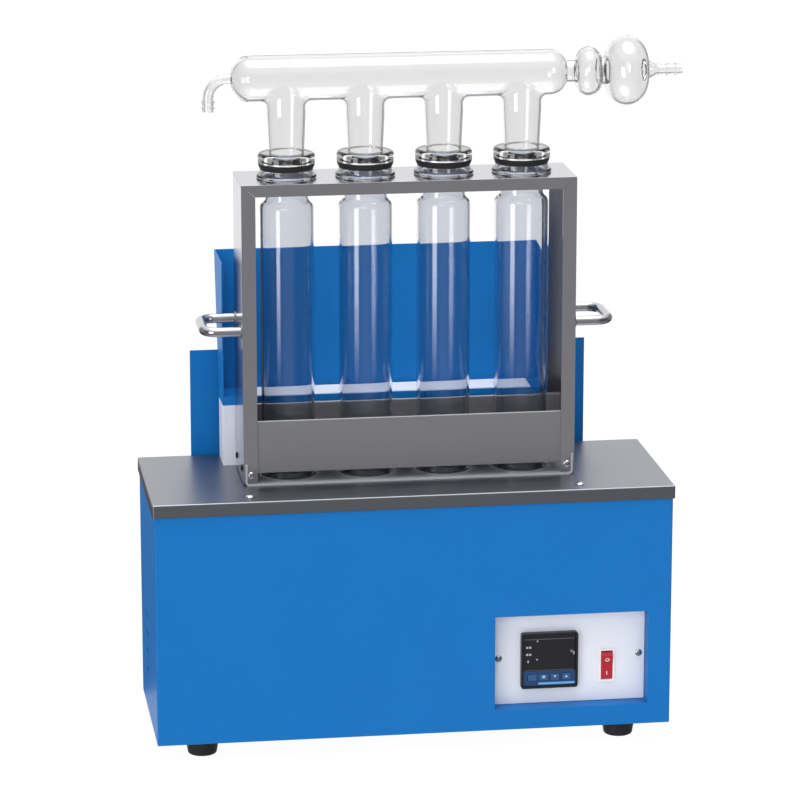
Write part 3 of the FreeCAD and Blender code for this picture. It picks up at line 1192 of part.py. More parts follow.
def tray_channel(gap):
    """Returns the folded channel of the base tray, grown all over by a gap."""
    x0 = RACK_LEFT + TRAY_INSET - gap
    x1 = RACK_RIGHT - TRAY_INSET + gap
    y0 = RACK_FRONT_Y - TRAY_PROUD
    y1 = RACK_BACK_Y + TRAY_PROUD
    sheet = TRAY_SHEET + 2 * gap
    z0 = BODY_TOP - gap
    shape = block(x0, x1, y0, y1, z0, BODY_TOP + TRAY_EAR + gap)
    bends = [e for e in shape.Edges if e.BoundBox.YLength > RACK_DEPTH and e.BoundBox.ZMax < z0 + SHEET_GAP]
    shape = shape.makeFillet(TRAY_BEND + gap, bends)
    inner = block(x0 + sheet, x1 - sheet, y0 - OVERRUN, y1 + OVERRUN, z0 + sheet, BODY_TOP + TRAY_EAR + OVERRUN)
    bends = [e for e in inner.Edges if e.BoundBox.YLength > RACK_DEPTH
             and e.BoundBox.ZMax < z0 + sheet + SHEET_GAP]
    inner = inner.makeFillet(TRAY_BEND - TRAY_SHEET - gap, bends)
    return shape.cut(inner)


def rack_base_tray():
    """Bottom of the rack, a channel with turned-up ears, four tube holes and lugs behind the posts."""
    z0 = BODY_TOP
    shape = tray_channel(0)
    shape = drilled(shape, RACK_HOLE_RADIUS, [at(x, TUBE_Y, z0) for x in TUBE_XS], Z_AXIS, TRAY_SHEET + OVERRUN)
    lugs = [block(x, x + LUG_WIDTH, y, y + TRAY_SHEET, z0 + TRAY_SHEET, z0 + LUG_HEIGHT) for x, y in lug_places()]
    shape = join([shape] + lugs)
    holes = [at(x, y, z0 + RACK_SCREW_HEIGHT) for x, y in post_screw_places()]
    shape = drilled(shape, M3_RADIUS + THREAD_GAP, holes, Y_AXIS, RACK_SHEET + TRAY_SHEET + OVERRUN)
    holes = [at(x, y, z0 + SIDE_SCREW_HEIGHT) for x in (RACK_LEFT, RACK_RIGHT) for y in side_screw_ys()]
    return drilled(shape, M3_RADIUS + THREAD_GAP, holes, X_AXIS, TRAY_INSET + TRAY_SHEET + OVERRUN)


def lug_places():
    """Returns the low x, y corner of each lug of the base tray."""
    front = RACK_FRONT_Y + RACK_SHEET + SHELF_FRONT_SETBACK
    rear = RACK_BACK_Y - RACK_SHEET - SHELF_FRONT_SETBACK - TRAY_SHEET
    left = RACK_LEFT + TRAY_INSET + TRAY_SHEET
    right = RACK_RIGHT - TRAY_INSET - TRAY_SHEET - LUG_WIDTH
    return [(x, y) for x in (left, right) for y in (front, rear)]


def post_screw_places():
    """Returns the x, y of the screws at the foot of each post."""
    return [(x, y) for x in (RACK_LEFT + RACK_SCREW_INSET, RACK_RIGHT - RACK_SCREW_INSET)
            for y in (RACK_FRONT_Y, RACK_BACK_Y)]


def rack_screws():
    """Dome screws at the foot of each post and on each side of the rack."""
    shapes = []
    for x, y in post_screw_places():
        axis = -Y_AXIS if y == RACK_FRONT_Y else Y_AXIS
        shapes.append(dome_screw(x, y, BODY_TOP + RACK_SCREW_HEIGHT, axis, M3_RADIUS, M3_HEAD_RADIUS,
                                 M3_HEAD_HEIGHT, SCREW_LENGTH))
    for x, axis in ((RACK_LEFT, -X_AXIS), (RACK_RIGHT, X_AXIS)):
        for y in side_screw_ys():
            shapes.append(dome_screw(x, y, BODY_TOP + SIDE_SCREW_HEIGHT, axis, M3_RADIUS, M3_HEAD_RADIUS,
                                     M3_HEAD_HEIGHT, SCREW_LENGTH))
    return group(shapes)


def rack_handle(left):
    """Round rod bent to a U, welded by both ends to a side of the rack."""
    web = RACK_LEFT if left else RACK_RIGHT
    outward = -1 if left else 1
    out = web + outward * HANDLE_REACH
    z = BODY_TOP + HANDLE_HEIGHT
    y0 = TUBE_Y - HANDLE_SPACING / 2
    y1 = TUBE_Y + HANDLE_SPACING / 2
    points = [at(web, y0, z), at(out, y0, z), at(out, y1, z), at(web, y1, z)]
    return bent_rod(points, [HANDLE_BEND, HANDLE_BEND], HANDLE_ROD_RADIUS)


def digestion_tube(index):
    """Round-bottomed glass tube with a shoulder, a neck, a collar and a plain rim."""
    x = TUBE_XS[index]
    outer = tube_outline(0)
    inner = tube_outline(TUBE_WALL)
    return lathe_z(outer, x, TUBE_Y).cut(lathe_z(inner, x, TUBE_Y))


def tube_outline(wall):
    """Returns the outline of the tube, drawn inward by a wall thickness."""
    r = TUBE_RADIUS - wall
    neck = TUBE_NECK_RADIUS - wall
    under = TUBE_COLLAR_UNDER_RADIUS - wall
    rim = TUBE_RIM_RADIUS - wall
    diagonal = math.sqrt(0.5)
    ball_z = TUBE_BOTTOM + TUBE_RADIUS
    shoulder = RACK_TOP - TUBE_SHOULDER_BELOW
    half_z = shoulder + TUBE_SHOULDER_RISE / 2
    half_r = (r + neck) / 2
    bulge = (r - neck) * SHOULDER_BULGE_SHARE
    neck_z = RACK_TOP - TUBE_NECK_BELOW
    path = [(TUBE_BOTTOM + wall, 0), ((ball_z - r * diagonal, r * diagonal), (ball_z, r)), (shoulder, r),
            (((shoulder + half_z) / 2, (r + half_r) / 2 + bulge), (half_z, half_r)),
            (((half_z + shoulder + TUBE_SHOULDER_RISE) / 2, (half_r + neck) / 2 - bulge),
             (shoulder + TUBE_SHOULDER_RISE, neck)),
            (neck_z, neck), (((neck_z + RACK_TOP) / 2, neck + (under - neck) * FLARE_BULGE_SHARE), (RACK_TOP, under))]
    if wall:
        path += [(TUBE_TOP + OVERRUN, rim), (TUBE_TOP + OVERRUN, 0)]
        return path
    lip = TUBE_COLLAR_HEIGHT / 2
    path += [(RACK_TOP, TUBE_COLLAR_RADIUS - lip / 2),
             ((RACK_TOP + lip, TUBE_COLLAR_RADIUS), (RACK_TOP + TUBE_COLLAR_HEIGHT, rim)),
             (TUBE_TOP, rim), (TUBE_TOP, 0)]
    return path


def seal_rings():
    """Black rubber rings between the tubes and the caps of the manifold."""
    shapes = []
    bore = SPIGOT_RADIUS + THREAD_GAP
    mid = (TUBE_TOP + SEAL_TOP) / 2
    for x in TUBE_XS:
        shapes.append(lathe_z([(TUBE_TOP, bore), (TUBE_TOP, SEAL_BOTTOM_RADIUS),
                               ((mid, SEAL_TOP_RADIUS - (SEAL_TOP_RADIUS - SEAL_BOTTOM_RADIUS) * SEAL_BULGE_SHARE),
                                (SEAL_TOP, SEAL_TOP_RADIUS)), (SEAL_TOP, bore)], x, TUBE_Y))
    return group(shapes)


def manifold_main(wall):
    """Returns the main tube, the bulbs and the barb, drawn inward by a wall thickness."""
    inner = wall > 0
    r = MAIN_RADIUS - wall
    left = RACK_X - MAIN_LEFT_END + wall
    left_full = RACK_X - MAIN_LEFT_END + MAIN_LEFT_TAPER
    right = RACK_X + MAIN_RIGHT_END
    right_full = right - MAIN_RIGHT_TAPER
    neck = NECK_RADIUS - wall
    second = SECOND_NECK_RADIUS - wall
    hook = HOOK_BORE_RADIUS if inner else HOOK_ROOT_RADIUS
    tip = BARB_BORE_RADIUS if inner else BARB_RADIUS
    small = SMALL_BULB_RADIUS - wall
    big = BIG_BULB_RADIUS - wall
    path = [(left, 0), (left, hook),
            ((left + MAIN_LEFT_TAPER * LEFT_SHOULDER_RUN_SHARE,
              hook + (r - hook) * LEFT_SHOULDER_RISE_SHARE), (left_full, r)),
            (right_full, r),
            ((right_full + MAIN_RIGHT_TAPER * RIGHT_SHOULDER_RUN_SHARE,
              neck + (r - neck) * RIGHT_SHOULDER_RISE_SHARE), (right, neck)),
            (SMALL_BULB_START + wall, neck),
            (((SMALL_BULB_START + SMALL_BULB_END) / 2, small), (SMALL_BULB_END - wall, second)),
            (BIG_BULB_START + wall, second),
            (((BIG_BULB_START + BIG_BULB_END) / 2, big), (BIG_BULB_END - wall, CONE_START_RADIUS - wall)),
            (BARB_START, tip)]
    end = BARB_END + (OVERRUN if inner else 0)
    path += [(end, tip), (end, 0)]
    shape = lathe_x(path, TUBE_Y, MAIN_Z)
    if inner:
        return shape
    pitch = BARB_LENGTH / BARB_RIDGES
    ridges = [Part.makeCone(BARB_RIDGE_RADIUS, BARB_RADIUS, pitch * BARB_RIDGE_SHARE,
                            at(BARB_START + pitch * (i + BARB_FIRST_SHARE), TUBE_Y, MAIN_Z), X_AXIS)
              for i in range(BARB_RIDGES)]
    return join([shape] + ridges)


def manifold_arm(x, wall):
    """Returns one downward arm, with its cap and spigot when wall is 0."""
    joint = MAIN_Z - ARM_JOINT_BELOW
    start = MAIN_Z - (0 if wall else ARM_START_BELOW)
    root = ARM_ROOT_RADIUS - wall
    if wall:
        path = [(start, 0), (start, root), (joint, root), (CAP_TOP, ARM_BOTTOM_RADIUS - wall),
                (SEAL_TOP, SPIGOT_RADIUS - wall), (SEAL_TOP - SPIGOT_LENGTH - OVERRUN, SPIGOT_RADIUS - wall),
                (SEAL_TOP - SPIGOT_LENGTH - OVERRUN, 0)]
        return lathe_z(path, x, TUBE_Y)
    round_share = 1 - math.sqrt(0.5)
    path = [(start, 0), (start, root), (joint, root), (CAP_TOP, ARM_BOTTOM_RADIUS),
            (CAP_TOP, CAP_RADIUS - CAP_SHOULDER),
            ((CAP_TOP - CAP_SHOULDER * round_share, CAP_RADIUS - CAP_SHOULDER * round_share),
             (CAP_TOP - CAP_SHOULDER, CAP_RADIUS)),
            (SEAL_TOP, CAP_RADIUS), (SEAL_TOP, SPIGOT_RADIUS), (SEAL_TOP - SPIGOT_LENGTH, SPIGOT_RADIUS),
            (SEAL_TOP - SPIGOT_LENGTH, 0)]
    return lathe_z(path, x, TUBE_Y)


def drain_hook(radius, extra):
    """Returns the bent condensate outlet at the left end of the manifold."""
    x0 = RACK_X - MAIN_LEFT_END + (HOOK_BORE_REACH if extra else GLASS_WALL)
    x1 = RACK_X - MAIN_LEFT_END - HOOK_RUN - HOOK_BEND
    z1 = MAIN_Z - HOOK_BEND - HOOK_DROP - extra
    points = [at(x0, TUBE_Y, MAIN_Z), at(x1, TUBE_Y, MAIN_Z), at(x1, TUBE_Y, z1)]
    return bent_rod(points, [HOOK_BEND], radius)


def fume_manifold():
    """One piece of blown glass: main tube, four capped arms, drain hook, two bulbs and a hose barb."""
    outer = join([manifold_main(0)] + [manifold_arm(x, 0) for x in TUBE_XS])
    outer = outer.makeFillet(ARM_FILLET, [e for e in outer.Edges if is_arm_root(e)])
    x1 = RACK_X - MAIN_LEFT_END - HOOK_RUN - HOOK_BEND
    ridges = []
    for i in range(HOOK_RIDGES):
        z = MAIN_Z - HOOK_BEND - HOOK_DROP + HOOK_RIDGE_FIRST + HOOK_RIDGE_PITCH * i
        ridges.append(Part.makeCone(HOOK_RIDGE_RADIUS, HOOK_RADIUS, HOOK_RIDGE_LENGTH, at(x1, TUBE_Y, z), -Z_AXIS))
    outer = join([outer, drain_hook(HOOK_RADIUS, 0)] + ridges)
    inner = join([manifold_main(GLASS_WALL)] + [manifold_arm(x, GLASS_WALL) for x in TUBE_XS])
    inner = inner.makeFillet(ARM_FILLET + GLASS_WALL, [e for e in inner.Edges if is_arm_root(e)])
    glass = outer.cut([inner, drain_hook(HOOK_BORE_RADIUS, OVERRUN)])
    return glass


def is_arm_root(edge):
    """Tells whether an edge is the curve where an arm meets the main tube."""
    box = edge.BoundBox
    near = any(abs(box.Center.x - x) < MAIN_RADIUS for x in TUBE_XS)
    low = box.ZMin > MAIN_Z - MAIN_RADIUS - OVERRUN and box.ZMax < MAIN_Z - ARM_ROOT_BELOW
    return near and low and box.ZLength > SHEET_GAP


def shield_support():
    """Stainless box behind the rack that carries the heat shield, open at the back and below."""
    x0 = -SHIELD_LEFT
    x1 = SHIELD_RIGHT
    shape = block(x0, x1, SHIELD_FRONT, SHIELD_BACK, BODY_TOP, SUPPORT_TOP)
    shape = shape.cut(block(x0 + PANEL_SHEET, x1 - PANEL_SHEET, SHIELD_FRONT + PANEL_SHEET, SHIELD_BACK + OVERRUN,
                            BODY_TOP - OVERRUN, SUPPORT_TOP - PANEL_SHEET))
    feet_flanges = []
    for a, b in ((x0 + PANEL_SHEET, x0 + PANEL_SHEET + SUPPORT_FOOT), (x1 - PANEL_SHEET - SUPPORT_FOOT, x1 - PANEL_SHEET)):
        feet_flanges.append(block(a, b, SHIELD_FRONT + PANEL_SHEET, SHIELD_BACK, BODY_TOP, BODY_TOP + PANEL_SHEET))
    return join([shape] + feet_flanges)


def heat_shield():
    """Blue shield: a panel leaning back, two side flanges, a raised floor and a front lip."""
    x0 = -SHIELD_LEFT
    x1 = SHIELD_RIGHT
    y0 = SHIELD_FRONT
    y1 = SHIELD_BACK
    s = PANEL_SHEET
    lean = SHIELD_LEAN
    side = [(y0, SUPPORT_TOP), (y1, SUPPORT_TOP), (y1 + lean, SHIELD_TOP), (y0, SHIELD_TOP)]
    pieces = [prism_x(side, x0, x0 + s), prism_x(side, x1 - s, x1)]
    pieces.append(prism_x([(y1 - s, SUPPORT_TOP), (y1, SUPPORT_TOP), (y1 + lean, SHIELD_TOP),
                           (y1 + lean - s, SHIELD_TOP)], x0, x1))
    lean_at_floor = lean * SHIELD_FLOOR_RISE / SHIELD_HEIGHT
    pieces.append(prism_x([(y0, SHIELD_FLOOR - s), (y1 - s / 2, SHIELD_FLOOR - s),
                           (y1 - s / 2 + lean_at_floor, SHIELD_FLOOR), (y0, SHIELD_FLOOR)], x0, x1))
    pieces.append(block(x0, x1, y0, y0 + s, SUPPORT_TOP, SHIELD_FLOOR))
    return join(pieces)


def shield_strip():
    """Bright stainless drip strip that lies on the floor of the shield."""
    return block(-SHIELD_LEFT + STRIP_INSET, SHIELD_RIGHT - STRIP_INSET, SHIELD_FRONT + STRIP_EDGE_GAP,
                 SHIELD_BACK - PANEL_SHEET - STRIP_EDGE_GAP, SHIELD_FLOOR, SHIELD_FLOOR + STRIP_THICKNESS)


def rear_guard():
    """Blue guard behind the top plate: a foot on the rear panel, a step back and a raised wall."""
    s = PANEL_SHEET
    foot_top = BODY_TOP - GUARD_DROP
    foot_bottom = foot_top - GUARD_FOOT
    top = BODY_TOP + GUARD_HEIGHT
    half = GUARD_HALF_WIDTH
    foot = block(-half, half, REAR_Y, REAR_Y + s, foot_bottom, foot_top)
    step = block(-half, half, REAR_Y, GUARD_Y + s, foot_top - s, foot_top)
    wall = block(-half, half, GUARD_Y, GUARD_Y + s, foot_top - s, top)
    guard = join([foot, step, wall])
    holes = [at(x, REAR_Y, z) for x, z in guard_screw_places()]
    return drilled(guard, M3_RADIUS + THREAD_GAP, holes, Y_AXIS, s + OVERRUN)


def guard_screws():
    """Two screws that hold the guard to the rear panel."""
    return group([dome_screw(x, REAR_Y + PANEL_SHEET, z, Y_AXIS, M3_RADIUS, M3_HEAD_RADIUS, M3_HEAD_HEIGHT,
                             SCREW_LENGTH) for x, z in guard_screw_places()])


def pieces():
    """Returns every node of the part with its shape."""
    nodes = {
        "body_shell": body_shell(),
        "bottom_plate": bottom_plate(),
        "rear_panel": rear_panel(),
        "rear_panel_screws": rear_panel_screws(),
        "top_plate": top_plate(),
        "feet": feet(),
        "foot_screws": foot_screws(),
        "control_recess": control_recess(),
        "control_panel": control_panel(),
        "panel_screws": panel_screws(),
        "controller_case": controller_case(),
        "controller_bezel": controller_bezel(),
        "display_window": display_window(),
        "key_band": key_band(),
        "switch_housing": switch_housing(),
        "rocker_pin": rocker_pin(),
        "power_rocker": power_rocker(),
        "heating_block": heating_block(),
        "heater_plate": heater_plate(),
        "heater_clamp": heater_clamp(),
        "heater_screws": heater_screws(),
        "block_insulation": block_insulation(),
        "block_tray": block_tray(),
        "well_collars": well_collars(),
        "tray_screws": tray_screws(),
        "temperature_probe": temperature_probe(),
        "relay_heat_sink": relay_heat_sink(),
        "relay": relay(),
        "terminal_block": terminal_block(),
        "inlet_socket": inlet_socket(),
        "inlet_screws": inlet_screws(),
        "fuse_holder": fuse_holder(),
        "earth_stud": earth_stud(),
        "mains_leads": mains_leads(),
        "heater_leads": heater_leads(),
        "control_leads": control_leads(),
        "rack_side_left": rack_side(True),
        "rack_side_right": rack_side(False),
        "rack_top": rack_top(),
        "rack_shelf": rack_shelf(),
        "rack_base_tray": rack_base_tray(),
        "rack_screws": rack_screws(),
        "rack_handle_left": rack_handle(True),
        "rack_handle_right": rack_handle(False),
        "seal_rings": seal_rings(),
        "fume_manifold": fume_manifold(),
        "shield_support": shield_support(),
        "heat_shield": heat_shield(),
        "shield_strip": shield_strip(),
        "rear_guard": rear_guard(),
        "guard_screws": guard_screws(),
    }
    for i in range(KEY_COUNT):
        nodes[f"controller_key_{i + 1}"] = controller_key(i)
    for i in range(TUBE_COUNT):
        nodes[f"digestion_tube_{i + 1}"] = digestion_tube(i)
    return nodes


def main():
    """Writes each node to its own STEP file."""
    os.makedirs("parts", exist_ok=True)
    for name, shape in pieces().items():
        placed = shape.copy()
        placed.translate(-ORIGIN)
        if not placed.isValid():
            print("not valid:", name)
        placed.exportStep(os.path.join("parts", name + ".step"))
        print(name, len(placed.Solids), round(placed.Volume))


main()
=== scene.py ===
"""Block digester for four glass tubes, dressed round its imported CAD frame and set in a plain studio.

The sheet metal, glass and fittings are CAD nodes that get a procedural finish and softened edges. The small
things that a maker prints, presses or welds on later are meshes of their own, in metres, in the row frame.
"""

import logging
import math
from dataclasses import dataclass, field
from enum import Enum
from typing import Any, Callable, Iterable, Sequence

import bmesh
import bpy
from mathutils import Euler, Matrix, Vector

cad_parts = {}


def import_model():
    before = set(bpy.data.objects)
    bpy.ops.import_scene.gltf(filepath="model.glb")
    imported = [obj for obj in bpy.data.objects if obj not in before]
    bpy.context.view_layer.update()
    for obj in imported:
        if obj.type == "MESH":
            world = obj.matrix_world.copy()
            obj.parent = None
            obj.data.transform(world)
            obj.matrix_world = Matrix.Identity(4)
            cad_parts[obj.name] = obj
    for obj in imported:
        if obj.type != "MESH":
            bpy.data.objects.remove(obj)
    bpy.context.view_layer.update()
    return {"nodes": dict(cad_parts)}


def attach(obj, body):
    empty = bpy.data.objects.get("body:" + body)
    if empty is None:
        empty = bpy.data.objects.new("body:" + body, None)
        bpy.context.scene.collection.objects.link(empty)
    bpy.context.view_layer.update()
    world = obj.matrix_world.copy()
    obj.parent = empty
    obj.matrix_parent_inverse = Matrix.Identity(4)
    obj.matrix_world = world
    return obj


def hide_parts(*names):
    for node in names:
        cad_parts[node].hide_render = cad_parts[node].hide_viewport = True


log = logging.getLogger("block_digester")

MM = 0.001
BASE_CENTRE_X = 8.5
BASE_CENTRE_Y = 87.3
SAME_POINT = 1e-7
WELD_REACH = 1e-6
EDGE_SEGMENTS = 3
EDGE_ANGLE_DEG = 40.0
NOISE_ROUGHNESS = 0.55
WHITE_LIGHT = (1.0, 1.0, 1.0, 1.0)

# Turns a mark's across, up and out to the right, up and to the front.
FRONT_TURN = Matrix(((1, 0, 0), (0, 0, -1), (0, 1, 0))).to_4x4()

Point = tuple[float, float]
Tree = bpy.types.NodeTree
Socket = bpy.types.NodeSocket


class Slot(str, Enum):
    """The names of the record's material slots, one for each kind of piece added here."""

    BRUSHED = "stainless_brushed"
    SCREW = "steel_screw"
    WINDOW = "window_smoked"
    KEYPAD = "keypad_blue"
    KEY = "key_grey"
    SWITCH = "switch_white"


class Body(str, Enum):
    """The bodies that the pieces added here ride on, apart from the numbered keys."""

    BASE = "base"
    RACK = "rack"
    ROCKER = "rocker"


class Axis(Enum):
    """Directions that a screw head or a weld can face."""

    FRONT = (0.0, -1.0, 0.0)
    REAR = (0.0, 1.0, 0.0)
    LEFT = (-1.0, 0.0, 0.0)
    RIGHT = (1.0, 0.0, 0.0)
    UP = (0.0, 0.0, 1.0)


def place(x: float, y: float, z: float) -> Vector:
    """Turns a point of the maker's drawing into the row frame.

    Args:
        x: Millimetres to the right of the middle of the housing.
        y: Millimetres behind the front face of the housing.
        z: Millimetres above the bench.

    Returns:
        The same point in metres, in the row frame.
    """
    return Vector(((x - BASE_CENTRE_X) * MM, (y - BASE_CENTRE_Y) * MM, z * MM))


def hex_linear(code: str) -> tuple[float, float, float, float]:
    """Turns an sRGB hex colour into linear light.

    Args:
        code: Six hex digits after a hash sign.

    Returns:
        Linear red, green, blue and an alpha of 1.
    """
    channels = [int(code[i : i + 2], 16) / 255 for i in (1, 3, 5)]
    linear = [c / 12.92 if c <= 0.04045 else ((c + 0.055) / 1.055) ** 2.4 for c in channels]
    return (*linear, 1.0)


def per_metre(size_mm: float) -> float:
    """Returns the texture scale at which one feature is size_mm across."""
    return 1.0 / (size_mm * MM)


def add_node(
    tree: Tree,
    kind: str,
    settings: dict[str, Any] | None = None,
    inputs: dict[str | int, Any] | None = None,
) -> bpy.types.Node:
    """Adds a shader node with its settings and links.

    Args:
        tree: The node tree of the material or world.
        kind: Blender's name for the kind of node.
        settings: Properties of the node.
        inputs: A value or an output socket for each input, by name or number.

    Returns:
        The new node.
    """
    node = tree.nodes.new(kind)
    for name, value in (settings or {}).items():
        setattr(node, name, value)
    for name, value in (inputs or {}).items():
        if isinstance(value, Socket):
            tree.links.new(value, node.inputs[name])
        else:
            node.inputs[name].default_value = value
    return node


@dataclass(frozen=True)
class Grain:
    """A noise pattern laid over a surface in real millimetres."""

    across_mm: float
    along_mm: float = 0.0
    along_axis: int = 0
    detail: float = 3.0

    def draw(self, tree: Tree) -> Socket:
        """Adds the pattern to a tree.

        Args:
            tree: The node tree of the material.

        Returns:
            The socket that carries the pattern, from 0 to 1.
        """
        coordinates = add_node(tree, "ShaderNodeTexCoord")
        stretch = [1.0, 1.0, 1.0]
        if self.along_mm:
            stretch[self.along_axis] = self.across_mm / self.along_mm
        mapping = add_node(
            tree,
            "ShaderNodeMapping",
            inputs={"Vector": coordinates.outputs["Object"], "Scale": stretch},
        )
        noise = add_node(
            tree,
            "ShaderNodeTexNoise",
            inputs={
                "Vector": mapping.outputs["Vector"],
                "Scale": per_metre(self.across_mm),
                "Detail": self.detail,
                "Roughness": NOISE_ROUGHNESS,
            },
        )
        return noise.outputs["Fac"]


@dataclass(frozen=True)
class Finish:
    """A finish with a colour, a gloss and a fine pattern in its colour, gloss and relief."""

    name: str
    colour: str
    roughness: float
    second_colour: str = ""
    metallic: float = 0.0
    ior: float = 1.5
    specular: float = 0.5
    gloss_spread: float = 0.05
    relief_mm: float = 0.01
    grain: Grain = field(default_factory=lambda: Grain(1.5))
    shade: Grain = field(default_factory=lambda: Grain(60.0))

    def build(self) -> bpy.types.Material:
        """Makes the material.

        Returns:
            The finished Blender material.
        """
        material = bpy.data.materials.new(self.name)
        material.use_nodes = True
        tree = material.node_tree
        tree.nodes.clear()
        fine = self.grain.draw(tree)
        broad = self.shade.draw(tree)
        gloss = add_node(
            tree,
            "ShaderNodeMapRange",
            inputs={
                "Value": fine,
                "To Min": self.roughness - self.gloss_spread,
                "To Max": self.roughness + self.gloss_spread,
            },
        )
        tint = add_node(
            tree,
            "ShaderNodeMix",
            {"data_type": "RGBA"},
            {"Factor": broad, 6: hex_linear(self.colour), 7: hex_linear(self.second_colour or self.colour)},
        )
        relief = add_node(
            tree,
            "ShaderNodeBump",
            inputs={"Height": fine, "Strength": 1.0, "Distance": self.relief_mm * MM},
        )
        shader = add_node(
            tree,
            "ShaderNodeBsdfPrincipled",
            inputs={
                "Base Color": tint.outputs[2],
                "Roughness": gloss.outputs["Result"],
                "Normal": relief.outputs["Normal"],
                "Metallic": self.metallic,
                **self.shader_values(),
            },
        )
        add_node(tree, "ShaderNodeOutputMaterial", inputs={"Surface": shader.outputs["BSDF"]})
        return material

    def shader_values(self) -> dict[str, Any]:
        """Returns the values that are the same all over the surface."""
        if self.metallic:
            return {}
        return {"IOR": self.ior, "Specular IOR Level": self.specular}


@dataclass(frozen=True)
class ClearGlass(Finish):
    """Blown glass, clear through its whole wall."""

    def shader_values(self) -> dict[str, Any]:
        """Returns the values that are the same all over the glass."""
        return {"IOR": self.ior, "Transmission Weight": 1.0}


@dataclass(frozen=True)
class SkinnedPlastic(Finish):
    """A moulded plastic with a clear, glossy skin, such as a rocker cap."""

    skin: float = 0.6
    skin_roughness: float = 0.08

    def shader_values(self) -> dict[str, Any]:
        """Returns the values that are the same all over the plastic."""
        return {"IOR": self.ior, "Coat Weight": self.skin, "Coat Roughness": self.skin_roughness}


# Powder coat: sprayed and baked, so it has a fine orange peel and a soft, broad gloss.
COAT_BLUE = Finish(
    "powder_coat_blue", "#146CB4", 0.42, "#1269B0", specular=0.14, gloss_spread=0.04,
    relief_mm=0.012, grain=Grain(1.6),
)
COAT_WHITE = Finish(
    "powder_coat_white", "#DFE3EC", 0.45, "#DBDFE9", specular=0.3, gloss_spread=0.04, grain=Grain(1.4)
)
# Stainless sheet, ground with a fine belt: long faint lines that widen the gloss across them.
STEEL_BRUSHED = Finish(
    "stainless_ground_sheet", "#8C8E96", 0.36, "#868890", metallic=1.0, relief_mm=0.004,
    grain=Grain(0.8, 40.0), shade=Grain(90.0, 400.0),
)
# Stainless sheet, rolled bright: smoother, so neighbours show in it as soft shapes.
STEEL_POLISHED = Finish(
    "stainless_bright_sheet", "#BEBEC3", 0.2, "#B8B8BE", metallic=1.0, gloss_spread=0.03, relief_mm=0.002,
    grain=Grain(0.8, 60.0, 2), shade=Grain(80.0),
)
# Stainless sheet, blasted: soft, with only a blurred image of its neighbours. Its near-white lavender colour
# is a painted reflection of the bright floor.
STEEL_SUPPORT_PAINTED_REFLECTION = Finish(
    "stainless_support_painted_reflection", "#E0E6F2", 0.5, "#DAE0EC", metallic=0.2, relief_mm=0.004,
    grain=Grain(0.9), shade=Grain(70.0),
)
# Stainless sheet of the base tray: matt, so that its sheared edges catch the light.
STEEL_MATT = Finish(
    "stainless_matt_sheet", "#C8CAD0", 0.42, "#C2C4CA", metallic=0.5, relief_mm=0.004,
    grain=Grain(0.8, 40.0), shade=Grain(70.0),
)
# The drip strip is the palest piece of sheet, satin: its near-white colour is a painted reflection of the
# white backdrop.
STEEL_STRIP_PAINTED_REFLECTION = Finish(
    "stainless_strip_painted_reflection", "#F6F8FC", 0.42, "#F0F2F8", metallic=0.1, relief_mm=0.004,
    grain=Grain(0.9, 40.0), shade=Grain(60.0),
)
# Stainless sheet of the shelf: dull rolled, half mirror and half matt.
STEEL_DULL = Finish(
    "stainless_dull_sheet", "#8F8F92", 0.36, "#8A8A8E", metallic=0.6, gloss_spread=0.04, relief_mm=0.003,
    grain=Grain(0.8, 40.0), shade=Grain(80.0),
)
# Side screws: their near-black colour is a painted dark reflection of the dim surroundings, under a soft
# gleam.
STEEL_SCREW_PAINTED_DARK = Finish(
    "steel_painted_dark_reflection", "#2A2A2E", 0.38, "#232327", metallic=0.7, gloss_spread=0.06,
    relief_mm=0.003, grain=Grain(0.6),
)
# Nickel plated screws: bright with a slight cloud.
STEEL_SCREW = Finish(
    "nickel_plated_steel", "#C9C9CC", 0.22, "#BEBEC2", metallic=1.0, relief_mm=0.002, grain=Grain(0.6)
)
# Zinc plated steel: duller, with a faint spangle.
STEEL_ZINC = Finish(
    "zinc_plated_steel", "#B4B7BA", 0.4, "#A5A8AC", metallic=1.0, gloss_spread=0.08, relief_mm=0.004,
    grain=Grain(3.0), shade=Grain(12.0),
)
# Borosilicate glass: drawn and blown, so the wall has slow waves that bend what is behind it.
GLASS_DRAWN = ClearGlass(
    "borosilicate_drawn", "#EAECF0", 0.008, "#E7E9EE", ior=1.47, gloss_spread=0.004, relief_mm=0.02,
    grain=Grain(14.0, 60.0, 2, 1.0),
)
# The manifold's wall is thinner and clearer, and was worked over a flame.
GLASS_BLOWN = ClearGlass(
    "borosilicate_flame_blown", "#F6F6F6", 0.008, "#F4F4F5", ior=1.47, gloss_spread=0.004, relief_mm=0.025,
    grain=Grain(12.0, 40.0, 0, 1.0),
)
# Moulded rubber: dull black with a faint bloom.
RUBBER_MOULDED = Finish(
    "rubber_moulded", "#17171A", 0.5, "#1E1E21", specular=0.4, gloss_spread=0.08, grain=Grain(0.7)
)
# Black ABS: spark eroded texture from the mould.
ABS_BLACK = Finish(
    "abs_black_moulded", "#16161B", 0.36, "#1A1A1F", specular=0.45, gloss_spread=0.06,
    relief_mm=0.008, grain=Grain(0.5),
)
# Smoked acrylic: polished, nearly black, with a clear reflection.
ACRYLIC_SMOKED = Finish(
    "acrylic_smoked", "#1B1A1D", 0.12, "#1E1D20", ior=1.49, gloss_spread=0.02, relief_mm=0.001,
    grain=Grain(6.0),
)
# Printed polyester foil over the keys: satin with a fine matt grain.
FOIL_BLUE = Finish(
    "polyester_foil_blue", "#1B3C68", 0.45, "#1E4270", specular=0.4, relief_mm=0.004, grain=Grain(0.5)
)
FOIL_KEY = Finish(
    "polyester_foil_key", "#27527F", 0.42, "#2B5787", specular=0.4, relief_mm=0.004, grain=Grain(0.5)
)
